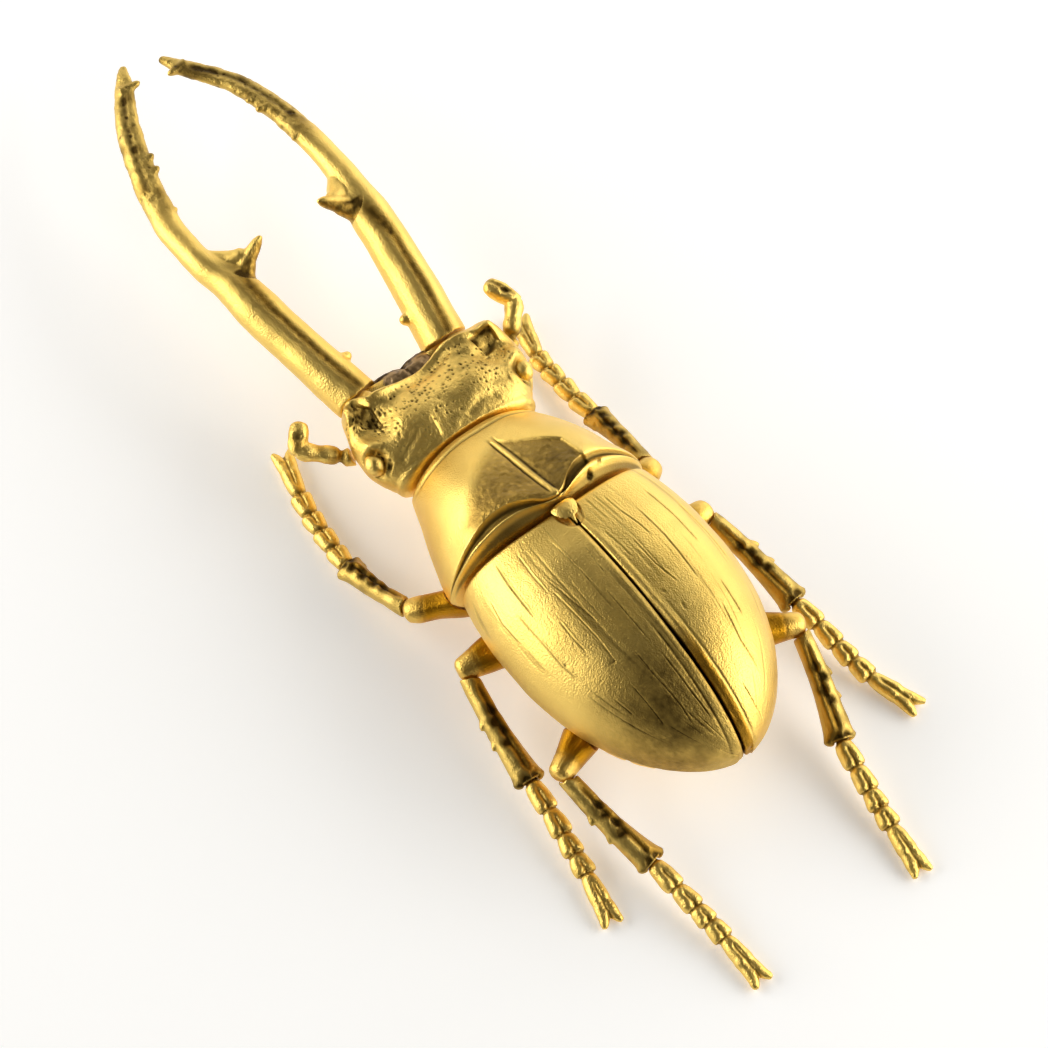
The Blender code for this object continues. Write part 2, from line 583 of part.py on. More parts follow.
def make_foot(name, leg, parts, material, shin):
    """Five flared joints and a pair of claws."""
    path = [Vector(leg["ankle"])] + [Vector(p) for p in leg["foot"]]
    steps = [(b - a).length for a, b in zip(path, path[1:])]
    ends = [sum(steps[:i + 1]) / sum(steps) for i in range(5)]
    foot = limb(name, path, foot_sizes(ends), 8, parts, material)
    run = (path[-1] - path[-2]).normalized()
    across = run.cross(Vector((0, 0, 1))).normalized()
    claws = []
    for way in (-1, 1):
        root = path[-1] - run * 0.8 + across * way * 0.35
        bend = path[-1] + run * CLAW_LENGTH * 0.5 + across * way * CLAW_SPREAD * 0.75
        tip = path[-1] + run * CLAW_LENGTH + across * way * CLAW_SPREAD * 1.1
        sizes = [(0.0, 0.75, 0.75), (0.5, 0.75, 0.7), (0.85, 0.55, 0.5), (1.0, 0.3, 0.3)]
        claws.append(limb(f"{name}_claw_{way + 1}", [root, bend, tip], sizes, 6, parts))
    apply_boolean(foot, "UNION", claws)
    trim(foot, shin)
    flatten_feet(foot)
    return foot


def make_leg(kind, hand, parts, material, trunk):
    leg = LEGS[f"{kind}_{hand}"]
    thigh = make_thigh(f"thigh_{kind}_{hand}", leg, THIGH_WIDTH[kind], parts, material, trunk)
    shin = make_shin(f"shin_{kind}_{hand}", leg, SHIN_TEETH[kind], TOOTH_HEIGHT[kind], SHIN_WIDTH[kind],
                     parts, material, thigh)
    make_foot(f"foot_{kind}_{hand}", leg, parts, material, shin)


def make_material(name, colour, roughness):
    material = bpy.data.materials.new(name)
    material.use_nodes = True
    shader = material.node_tree.nodes["Principled BSDF"]
    shader.inputs["Base Color"].default_value = colour
    shader.inputs["Roughness"].default_value = roughness
    shader.inputs["Metallic"].default_value = 1.0
    return material


def main():
    clear_scene()
    parts = bpy.data.collections.new("stag_beetle")
    bpy.context.scene.collection.children.link(parts)
    gold = make_material("burnished_gold", GOLD, 0.28)
    bronze = make_material("dark_bronze", DARK_BRONZE, 0.5)

    head = make_head(parts, gold)
    shield = make_neck_shield(parts, gold)
    cases = [make_wing_case("wing_case_left", 1, parts, gold), make_wing_case("wing_case_right", -1, parts, gold)]
    make_scutellum(parts, gold, [shield, *cases])
    breast = make_breast(parts, gold)
    belly = make_belly(parts, gold)
    for hand, side, case in (("left", 1, cases[0]), ("right", -1, cases[1])):
        make_jaw(f"jaw_{hand}", side, parts, gold, head)
        trim(make_eye(f"eye_{hand}", side, parts, gold), head)
        make_feeler(hand, parts, gold, head)
        make_leg("front", hand, parts, gold, [shield, breast, case])
        make_leg("mid", hand, parts, gold, [breast, belly, case])
        make_leg("hind", hand, parts, gold, [breast, belly, case])
    lip = make_lip(parts, bronze)
    trim(lip, head, bpy.data.objects["jaw_left"], bpy.data.objects["jaw_right"])

    stand = bpy.data.objects.new("beetle", None)
    parts.objects.link(stand)
    stand.location = (FOOTPRINT_SHIFT[0] * MM, FOOTPRINT_SHIFT[1] * MM, 0)
    for obj in parts.objects:
        if obj != stand:
            obj.parent = stand


main()
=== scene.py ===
import math
import bmesh
import bpy
import numpy as np
from mathutils import Matrix, Vector


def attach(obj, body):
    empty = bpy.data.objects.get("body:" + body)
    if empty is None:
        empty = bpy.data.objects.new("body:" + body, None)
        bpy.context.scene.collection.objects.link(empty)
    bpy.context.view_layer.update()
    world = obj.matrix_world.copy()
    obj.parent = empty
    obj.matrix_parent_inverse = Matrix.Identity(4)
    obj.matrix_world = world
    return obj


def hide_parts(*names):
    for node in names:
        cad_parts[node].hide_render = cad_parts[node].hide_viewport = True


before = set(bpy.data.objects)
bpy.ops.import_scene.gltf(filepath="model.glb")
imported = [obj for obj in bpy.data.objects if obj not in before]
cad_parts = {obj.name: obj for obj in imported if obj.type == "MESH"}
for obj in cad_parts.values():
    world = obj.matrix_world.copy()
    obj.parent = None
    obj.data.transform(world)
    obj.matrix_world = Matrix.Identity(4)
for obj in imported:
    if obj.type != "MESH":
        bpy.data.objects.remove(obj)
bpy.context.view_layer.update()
print("frame loaded,", len(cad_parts), "nodes")

# All shapes are worked out in millimetres from the beetle's own zero, head towards -Y
mm = 0.001
bodyZero = Vector((1.4, 10.1, 0.0))
gap = 0.3
rimHeight = 11.0


# Camera, lights and floor

camera = {"aim": (1.8, 9.4, 8.0), "around": 143.0, "above": 60.0, "away": 520.0, "lens": 152.16,
          "sensor": 36.0, "clip": (0.05, 20.0)}
# softboxes: the direction each stands in from the beetle, its distance, width and height, and its power
softboxes = {
    "leftBox": ((0.71, -0.60, 0.37), 0.55, (0.56, 0.44), 2.75),
    "rightBox": ((-0.70, 0.59, 0.40), 0.55, (0.56, 0.46), 3.0),
    "sideBox": ((-0.88, -0.29, 0.37), 0.55, (0.46, 0.42), 1.1),
    "headBox": ((-0.29, -0.89, 0.34), 0.60, (0.40, 0.36), 0.6),
}
studio = {"boxColour": (1.0, 0.99, 0.96), "worldColour": (1.0, 0.92, 0.78), "worldStrength": 0.08,
          "floorColour": (0.97, 0.97, 0.97), "floorSize": 6.0, "floorRoughness": 0.9, "floorGlow": 0.24}


def addObject(name, data):
    thing = bpy.data.objects.new(name, data)
    bpy.context.scene.collection.objects.link(thing)
    return thing


def meshOf(name, bm):
    mesh = bpy.data.meshes.new(name)
    bm.to_mesh(mesh)
    bm.free()
    return mesh


def placeCamera(values):
    data = bpy.data.cameras.new("photoCamera")
    data.sensor_width = values["sensor"]
    data.lens = values["lens"]
    data.clip_start, data.clip_end = values["clip"]
    cam = addObject("photoCamera", data)
    turn, rise = math.radians(values["around"]), math.radians(values["above"])
    back = Vector((math.sin(turn) * math.cos(rise), -math.cos(turn) * math.cos(rise), math.sin(rise)))
    cam.location = (Vector(values["aim"]) + back * values["away"]) * mm
    cam.rotation_euler = (-back).to_track_quat("-Z", "Y").to_euler()
    bpy.context.scene.camera = cam


def placeLights():
    for name, (stand, away, size, power) in softboxes.items():
        light = bpy.data.lights.new(name, "AREA")
        light.shape = "RECTANGLE"
        light.size, light.size_y = size
        light.energy = power
        light.color = studio["boxColour"]
        box = addObject(name, light)
        out = Vector(stand).normalized()
        box.location = out * away
        box.rotation_euler = (-out).to_track_quat("-Z", "Y").to_euler()
    world = bpy.data.worlds.new("studio")
    world.use_nodes = True
    sky = world.node_tree.nodes["Background"]
    sky.inputs["Color"].default_value = (*studio["worldColour"], 1.0)
    sky.inputs["Strength"].default_value = studio["worldStrength"]
    bpy.context.scene.world = world


def makeFloor():
    bm = bmesh.new()
    bmesh.ops.create_grid(bm, x_segments=1, y_segments=1, size=studio["floorSize"] / 2)
    floor = addObject("floor", meshOf("floor", bm))
    paint = bpy.data.materials.new("paleFloor")
    paint.use_nodes = True
    shader = paint.node_tree.nodes["Principled BSDF"]
    shader.inputs["Base Color"].default_value = (*studio["floorColour"], 1.0)
    shader.inputs["Roughness"].default_value = studio["floorRoughness"]
    shader.inputs["Emission Color"].default_value = (1.0, 1.0, 1.0, 1.0)
    shader.inputs["Emission Strength"].default_value = studio["floorGlow"]
    floor.data.materials.append(paint)


placeCamera(camera)
placeLights()
makeFloor()
bpy.context.scene.view_settings.view_transform = "Standard"
print("camera, lights and floor placed")


# Materials

goldCast = {"light": (0.97, 0.67, 0.17), "deep": (0.84, 0.52, 0.08), "patinaAndShade": (0.060, 0.034, 0.006),
            "amber": (0.56, 0.26, 0.010), "roughness": 0.33, "grainSize": 5000.0, "bump": 0.75}
bronzeCast = {"light": (0.44, 0.29, 0.14), "deep": (0.20, 0.12, 0.055), "patinaAndShade": (0.035, 0.020, 0.010),
              "amber": (0.20, 0.13, 0.06), "roughness": 0.40, "grainSize": 2600.0, "bump": 0.6}
# what both metals share: clouds of the deeper tone, and a grain that dulls and roughens the skin
skin = {"cloudSize": 160.0, "cloudDetail": 4.0, "cloudFrom": 0.45, "cloudTo": 0.85, "cloudShare": 0.35,
        "grainDetail": 3.0, "polish": 0.06, "wear": 0.10, "patinaAndShadeRoughness": 0.16, "bumpHeight": 0.0001}


def makeMetal(name, values):
    metal = bpy.data.materials.new(name)
    metal.use_nodes = True
    tree = metal.node_tree
    shader = tree.nodes["Principled BSDF"]
    shader.inputs["Metallic"].default_value = 1.0

    def node(kind, result, inputs, **settings):
        # a node whose inputs are values or the outputs of other nodes; gives back one of its outputs
        made = tree.nodes.new(f"ShaderNode{kind}")
        for key, value in settings.items():
            setattr(made, key, value)
        for key, value in inputs.items():
            if isinstance(value, bpy.types.NodeSocket):
                tree.links.new(value, made.inputs[key])
            else:
                made.inputs[key].default_value = value
        return made.outputs[result]

    def mix(share, base, key):
        colour = (*values[key], 1.0)
        return node("Mix", "Result", {"Factor": share, "A": base, "B": colour}, data_type="RGBA")

    place = node("TexCoord", "Object", {})
    cloud = node("TexNoise", "Fac", {"Scale": skin["cloudSize"], "Detail": skin["cloudDetail"],
                                     "Vector": place})
    spread = node("MapRange", "Result", {"From Min": skin["cloudFrom"], "From Max": skin["cloudTo"],
                                         "To Max": skin["cloudShare"], "Value": cloud})
    # the amber tone is partly a painted reflection, the warm glow gold throws onto gold in hollows,
    # undersides and the thighs, and partly random tone
    warm = node("Attribute", "Fac", {}, attribute_name="amber")
    # the dark tone: patina in hollows, and in places painted shade
    patinaAndShade = node("Attribute", "Fac", {}, attribute_name="patina_and_shade")
    colour = mix(patinaAndShade, mix(warm, mix(spread, (*values["light"], 1.0), "deep"), "amber"), "patinaAndShade")
    grain = node("TexNoise", "Fac", {"Scale": values["grainSize"], "Detail": skin["grainDetail"],
                                     "Vector": place})
    dull = node("MapRange", "Result", {"To Min": values["roughness"] - skin["polish"],
                                       "To Max": values["roughness"] + skin["wear"], "Value": grain})
    rough = node("Math", "Value", {0: patinaAndShade, 1: skin["patinaAndShadeRoughness"], 2: dull}, operation="MULTIPLY_ADD")
    relief = node("Bump", "Normal", {"Strength": values["bump"], "Distance": skin["bumpHeight"],
                                     "Height": grain})
    for key, result in (("Base Color", colour), ("Roughness", rough), ("Normal", relief)):
        tree.links.new(result, shader.inputs[key])
    return metal


gold = makeMetal("castGold", goldCast)
darkBronze = makeMetal("darkBronze", bronzeCast)


# Helpers for the shapes

def curveThrough(points):
    # a smooth curve through (place, value) pairs that never overshoots them
    t, v = np.array(sorted(points), float).T
    slope = np.diff(v) / np.diff(t)
    lean = np.zeros(len(t))
    lean[0], lean[-1] = slope[0], slope[-1]
    for i in range(1, len(t) - 1):
        if slope[i - 1] * slope[i] > 0:
            lean[i] = 2 * slope[i - 1] * slope[i] / (slope[i - 1] + slope[i])

    def at(x):
        x = np.clip(x, t[0], t[-1])
        i = np.clip(np.searchsorted(t, x, side="right") - 1, 0, len(t) - 2)
        h = t[i + 1] - t[i]
        s = (x - t[i]) / h
        start = (1 + 2 * s) * (1 - s) ** 2 * v[i] + s * (1 - s) ** 2 * h * lean[i]
        return start + s * s * (3 - 2 * s) * v[i + 1] + s * s * (s - 1) * h * lean[i + 1]

    return at


def clipped(value):
    return np.clip(value, 0, 1)


def swell(x, y, at, radius):
    # 1 at a place on the plan, falling smoothly to 0 at a radius from it
    near = np.hypot(x - at[0], y - at[1]) / radius
    return np.where(near < 1, (1 - np.minimum(near, 1) ** 2) ** 2, 0.0)


def step(value, low, high):
    share = clipped((value - low) / (high - low))
    return share * share * (3 - 2 * share)


def bell(value, width, power=2):
    # 1 where the value is 0, falling off on both sides of it
    return np.exp(-(value / width) ** power)


def scatter(cell, seed):
    # a steady pseudo-random number from 0 to 1 for each whole-numbered cell
    mixed = (cell[..., 0] * 73856093) ^ (cell[..., 1] * 19349663)
    mixed = mixed ^ (cell[..., 2] * 83492791) ^ (seed * 2654435761)
    mixed = (mixed ^ (mixed >> 13)) * 1274126177 & 0xFFFFFFFF
    return ((mixed ^ (mixed >> 16)) & 0xFFFF) / 65535.0


corners = [(i, j, k) for i in (0, 1) for j in (0, 1) for k in (0, 1)]


def lumps(spots, size, seed=1):
    # smooth noise from -1 to 1 with lumps of a size
    place = spots / size
    cell = np.floor(place).astype(np.int64)
    part = place - cell
    ease = part * part * (3 - 2 * part)
    total = 0.0
    for corner in corners:
        share = np.prod(np.where(np.array(corner) == 1, ease, 1 - ease), axis=1)
        total = total + share * scatter(cell + np.array(corner), seed)
    return total * 2 - 1


def waves(spots, *rows):
    # lumps of several sizes together, each with its size, its seed and its height
    return sum(lumps(spots, size, seed) * height for size, seed, height in rows)


def pits(spots, size, fill, seed=1):
    # round pits, 0 outside and 1 at the middle, one in each cell that is filled
    place = spots / size
    cell = np.floor(place).astype(np.int64)
    deepest = np.zeros(len(spots))
    around = [(i, j, k) for i in (-1, 0, 1) for j in (-1, 0, 1) for k in (-1, 0, 1)]
    for corner in around:
        near = cell + np.array(corner)
        middle = near + 0.15 + 0.7 * np.stack([scatter(near, seed + k) for k in (11, 12, 13)], 1)
        reach = 0.2 + 0.22 * scatter(near, seed + 14)
        share = np.linalg.norm(place - middle, axis=1) / reach
        there = (share < 1) & (scatter(near, seed + 15) < fill)
        pit = np.where(there, (1 - np.minimum(share, 1) ** 2), 0.0)
        deepest = np.maximum(deepest, pit)
    return deepest


def fromLine(spots, line):
    # distance on the plan to a broken line, and how far along it, from 0 to 1
    line = np.array(line, float)[:, :2]
    steps = np.linalg.norm(np.diff(line, axis=0), axis=1)
    before = np.concatenate([[0], np.cumsum(steps)])
    nearest, along = np.full(len(spots), 1e9), np.zeros(len(spots))
    for a, b, length, start in zip(line, line[1:], steps, before):
        share = clipped(((spots[:, :2] - a) @ (b - a)) / length ** 2)
        away = np.linalg.norm(spots[:, :2] - a - share[:, None] * (b - a), axis=1)
        closer = away < nearest
        nearest[closer] = away[closer]
        along[closer] = ((start + share * length) / before[-1])[closer]
    return nearest, along


def engraved(spots, lines, width):
    # 1 along the middle of each line, fading beside it and at its ends
    mark = np.zeros(len(spots))
    for line in lines:
        away, along = fromLine(spots, line)
        fade = np.clip(np.minimum(along, 1 - along) / 0.12, 0.15, 1)
        mark = np.maximum(mark, fade * bell(away, width))
    return mark


def inside(spots, corners, soft):
    # 1 well inside a convex field on the plan, falling to 0 at its edge; corners run anticlockwise
    near = np.full(len(spots), 1e9)
    for a, b in zip(corners, corners[1:] + corners[:1]):
        run = np.array(b, float) - a
        run /= np.linalg.norm(run)
        near = np.minimum(near, run[0] * (spots[:, 1] - a[1]) - run[1] * (spots[:, 0] - a[0]))
    return step(near, 0.0, soft)


def edgesOf(bm, ring):
    return [bm.edges.get(pair) for pair in zip(ring, ring[1:] + ring[:1])]


def drawOut(bm, rings):
    # each ring is extruded from the last one and moved into place, and both ends are closed
    ring = list(bmesh.ops.create_circle(bm, cap_ends=False, radius=1.0, segments=len(rings[0]))["verts"])
    for vert, spot in zip(ring, rings[0]):
        vert.co = spot
    firstRing = ring
    for spots in rings[1:]:
        made = set(bmesh.ops.extrude_edge_only(bm, edges=edgesOf(bm, ring))["geom"])
        ring = [next(e.other_vert(v) for e in v.link_edges if e.other_vert(v) in made) for v in ring]
        for vert, spot in zip(ring, spots):
            vert.co = spot
    for end in (firstRing, ring):
        cap = bmesh.ops.contextual_create(bm, geom=edgesOf(bm, end))["faces"]
        bmesh.ops.poke(bm, faces=cap)


def applied(piece, kind, **values):
    modifier = piece.modifiers.new(kind.lower(), kind)
    for key, value in values.items():
        setattr(modifier, key, value)
    graph = bpy.context.evaluated_depsgraph_get()
    mesh = bpy.data.meshes.new_from_object(piece.evaluated_get(graph))
    piece.modifiers.clear()
    old = piece.data
    piece.data = mesh
    bpy.data.meshes.remove(old)


def makePiece(name, bm, levels=0):
    bmesh.ops.recalc_face_normals(bm, faces=bm.faces)
    piece = addObject(name, meshOf(name, bm))
    if levels:
        applied(piece, "SUBSURF", levels=levels, render_levels=levels)
    return piece


def makeForms(name, forms, levels=0):
    # one piece of several forms, each drawn out from its rings
    bm = bmesh.new()
    for rings in forms:
        drawOut(bm, rings)
    return makePiece(name, bm, levels)


def makeBall(name, place, radii, detail=5):
    bm = bmesh.new()
    bmesh.ops.create_icosphere(bm, subdivisions=detail, radius=1.0)
    bmesh.ops.scale(bm, vec=Vector(radii), verts=bm.verts)
    bmesh.ops.translate(bm, vec=Vector(place), verts=bm.verts)
    return makePiece(name, bm)


def cutAway(piece, cutter):
    applied(piece, "BOOLEAN", operation="DIFFERENCE", solver="FAST", object=cutter)
    bpy.data.objects.remove(cutter)


def fuse(piece, voxel, rounds):
    # joins overlapping forms into one skin and softens it as a casting is softened
    applied(piece, "REMESH", mode="VOXEL", voxel_size=voxel)
    applied(piece, "SMOOTH", factor=0.5, iterations=rounds)


def carve(piece, relief):
    # moves the skin along its normals by the relief, never below the floor, and stores the two tones: a dark
    # one of patina in hollows and, in places, painted shade, and an amber one that is partly a painted
    # reflection
    mesh = piece.data
    count = len(mesh.vertices)
    spots, outward = np.empty(count * 3), np.empty(count * 3)
    mesh.vertices.foreach_get("co", spots)
    mesh.vertices.foreach_get("normal", outward)
    spots, outward = spots.reshape(-1, 3), outward.reshape(-1, 3)
    height, patinaAndShade, *amber = relief(spots, outward)
    moved = spots + outward * height[:, None]
    moved[:, 2] = np.maximum(moved[:, 2], 0.0)
    mesh.vertices.foreach_set("co", moved.ravel())
    for name, tone in zip(("patina_and_shade", "amber"), (patinaAndShade, *amber)):
        mesh.attributes.new(name, "FLOAT", "POINT").data.foreach_set("value", clipped(tone))
    mesh.update()


def settle(piece, relief, nodeName, metal=gold):
    carve(piece, relief)
    piece.data.transform(Matrix.Translation(bodyZero * mm) @ Matrix.Scale(mm, 4))
    piece.data.shade_smooth()
    piece.data.materials.clear()
    piece.data.materials.append(metal)
    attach(piece, "root")
    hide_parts(nodeName)
    print(piece.name, len(piece.data.polygons), "faces")


def bodyRing(yOf, halfWidth, top, rim, bottom, angles, relief=None, fullness=2.0, lean=0.0):
    # a ring across the body: an arched top over the rim and a shallower belly under it
    c, s = np.cos(angles), np.sin(angles)
    x = halfWidth * np.sign(c) * np.abs(c) ** (2 / fullness)
    rise = np.abs(s) ** (2 / fullness)
    z = np.where(s >= 0, rim + (top - rim) * rise, rim - (rim - bottom) * rise)
    y = yOf(x) + 0 * x
    if relief is not None:
        z = z + np.where(s > 0, relief(x, y) * np.minimum(1, np.maximum(s, 0) * 2), 0)
    return np.stack([x + lean, y, z], 1)


def shapeRing(shape, y, yOf, relief=None, lean=0.0):
    # a ring across the body with a part's own width, top, rim and belly
    outline = (float(shape[key](y)) for key in ("width", "top", "rim", "belly"))
    return bodyRing(yOf, *outline, shape["angles"], relief, shape["fullness"], lean)


def ringAngles(above, below):
    return np.concatenate([np.linspace(0, np.pi, above, endpoint=False),
                           np.linspace(np.pi, 2 * np.pi, below, endpoint=False)])


def acrossOf(run):
    return run.cross(Vector((0, 0, 1))).normalized()


def limbRings(path, sizes, sides, count, tilt=None):
    # rings along a path; sizes has (share of the length, half breadth, half thickness)
    points = np.array(path, float)
    along = np.concatenate([[0], np.cumsum(np.linalg.norm(np.diff(points, axis=0), axis=1))])
    along /= along[-1]
    axes = [curveThrough(list(zip(along, points[:, k]))) for k in range(3)]
    breadth = curveThrough([(size[0], size[1]) for size in sizes])
    depth = curveThrough([(size[0], size[2]) for size in sizes])
    shares = np.linspace(0, 1, count)
    line = [Vector(spot) for spot in np.stack([axis(shares) for axis in axes], 1)]
    rings = []
    for i, share in enumerate(shares):
        ahead = (line[min(i + 1, count - 1)] - line[max(i - 1, 0)]).normalized()
        side = acrossOf(ahead)
        up = side.cross(ahead).normalized()
        turn = Matrix.Rotation(math.radians(tilt(share)) if tilt else 0.0, 3, ahead)
        ring = []
        for k in range(sides):
            angle = 2 * math.pi * k / sides
            sideways, upwards = float(breadth(share)) * math.cos(angle), float(depth(share)) * math.sin(angle)
            ring.append(line[i] + turn @ (side * sideways + up * upwards))
        rings.append(ring)
    return rings


def taper(foot, tip, wide, narrow, sides):
    # a blunt tooth from foot to tip
    radii = ((0, wide), (0.5, (wide + narrow) * 0.48), (0.9, narrow * 1.1), (1, narrow * 0.5))
    return limbRings([foot, (foot + tip) / 2, tip], [(share, r, r) for share, r in radii], sides, 9)


def clearOf(piece, voxel, rounds, *names):
    # cuts away what comes nearer than the gap to the neighbouring nodes, and keeps the largest part
    for name in names:
        bm = bmesh.new()
        bm.from_mesh(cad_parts[name].data)
        bmesh.ops.remove_doubles(bm, verts=bm.verts, dist=0.002 * mm)
        toBody = Matrix.Scale(1 / mm, 4) @ Matrix.Translation(-bodyZero * mm)
        bmesh.ops.transform(bm, matrix=toBody, verts=bm.verts)
        bm.normal_update()
        grown = [vert.co + vert.normal * gap for vert in bm.verts]
        for vert, spot in zip(bm.verts, grown):
            vert.co = spot
        cutAway(piece, addObject("cutter", meshOf("cutter", bm)))
    fuse(piece, voxel, rounds)
    bm = bmesh.new()
    bm.from_mesh(piece.data)
    left, islands = set(bm.verts), []
    while left:
        island, edge = set(), [left.pop()]
        while edge:
            vert = edge.pop()
            island.add(vert)
            for link in vert.link_edges:
                other = link.other_vert(vert)
                if other in left:
                    left.discard(other)
                    edge.append(other)
        islands.append(island)
    islands.sort(key=len)
    bmesh.ops.delete(bm, geom=[vert for island in islands[:-1] for vert in island], context="VERTS")
    bm.to_mesh(piece.data)
    bm.free()


def cast(name, forms, voxel, rounds, *neighbours):
    # a piece of overlapping forms, joined into one skin and kept clear of its neighbours
    piece = makeForms(name, forms)
    fuse(piece, voxel, 0)
    clearOf(piece, voxel, rounds, *neighbours)
    return piece


bothSides = (("left", 1), ("right", -1))
print("helpers ready")


# Wing cases

caseShape = {
    "width": curveThrough([(3.5, 11.9), (5.0, 12.9), (6.5, 13.6), (9.5, 14.4), (13.5, 14.8), (18.0, 14.8),
        (22.0, 14.4), (26.0, 13.6), (30.0, 12.1), (33.5, 10.1), (36.5, 7.6), (38.6, 5.0), (39.8, 2.7),
        (40.2, 1.3)]),
    "top": curveThrough([(3.5, 20.0), (6.0, 20.8), (8.0, 21.2), (13.0, 22.0), (19.0, 22.2), (25.0, 21.8),
        (30.0, 20.8), (34.0, 19.2), (37.0, 17.3), (39.2, 15.0), (40.2, 13.4)]),
    "suture": curveThrough([(5.0, 0.12), (16.0, 0.15), (22.0, 0.3), (28.0, 0.6), (36.0, 0.75),
        (40.2, 0.75)]),
    "fullness": 2.25, "front": 5.9, "rear": 40.2, "stations": 46, "arc": 52, "seamBow": 1.9,
    "grooveWidth": 0.07, "grooveDepth": 0.065, "levels": 2, "inner": 0.08, "seamShare": {1: 0.35, -1: 1.15},
    "seamDepth": {1: 0.5, -1: 0.24},
}
# engraved lines as (x, y) pairs along each, on the beetle's left and right wing case
caseLines = {
    "left": [[(4.0, 8.7), (3.8, 13.4), (3.7, 16.7)], [(3.1, 17.5), (3.0, 21.6), (2.9, 26.0)], [(9.8, 6.1),
        (10.5, 10.5), (10.8, 15.3)], [(7.6, 7.6), (8.0, 10.9), (8.1, 14.2)], [(7.2, 12.7), (6.7, 16.6),
        (6.1, 20.7)], [(7.6, 14.1), (7.4, 18.1), (7.2, 22.1), (7.3, 25.6)], [(9.1, 17.5), (9.2, 20.0),
        (9.0, 22.5)], [(11.8, 12.7), (11.8, 16.5), (11.7, 21.5), (11.2, 24.5)], [(12.7, 9.1), (13.3, 12.3),
        (13.3, 15.7)], [(5.0, 25.5), (4.8, 29.5), (4.3, 33.5), (4.2, 36.2)], [(7.4, 28.6), (7.1, 31.6),
        (6.8, 34.0)], [(1.4, 11.9), (1.7, 14.5), (1.8, 16.5)], [(2.7, 27.6), (2.5, 33.0), (2.1, 36.6)],
        [(9.6, 28.4), (8.9, 31.0)]],
    "right": [[(-2.7, 6.8), (-2.9, 10.8)], [(-4.6, 7.3), (-4.8, 10.6), (-5.4, 13.6), (-5.6, 15.5)],
        [(-6.6, 10.9), (-6.9, 16.2), (-6.8, 19.1), (-6.5, 23.2)], [(-1.5, 11.7), (-1.8, 14.5),
        (-1.9, 16.6)], [(-3.4, 14.5), (-3.5, 18.8), (-4.2, 22.3)], [(-7.0, 26.3), (-6.0, 31.3),
        (-6.1, 35.3)], [(-3.2, 35.2), (-3.3, 37.6), (-3.7, 39.1)], [(-9.3, 9.0), (-9.9, 14.0),
        (-10.0, 19.0)], [(-11.9, 12.0), (-12.3, 17.0), (-12.1, 22.0)], [(-8.8, 24.0), (-8.3, 29.0)]],
}
# areas of painted shade on the plan, standing for the dark reflection over the middle and rear of the cases:
# place, radius and amount
caseShadeAreas = {
    "left": [((5.0, 33.5), 12.5, 2.5), ((2.5, 21.0), 12.0, 1.35)], "right": [((2.0, 25.0), 11.0, 1.0)],
}
caseNicks = {
    "left": [[(7.9, 25.2), (7.2, 25.4)], [(11.5, 21.5), (11.3, 21.9)]],
    "right": [[(-2.9, 24.4), (-2.7, 25.4)], [(-1.8, 21.9), (-2.2, 22.4)]],
}


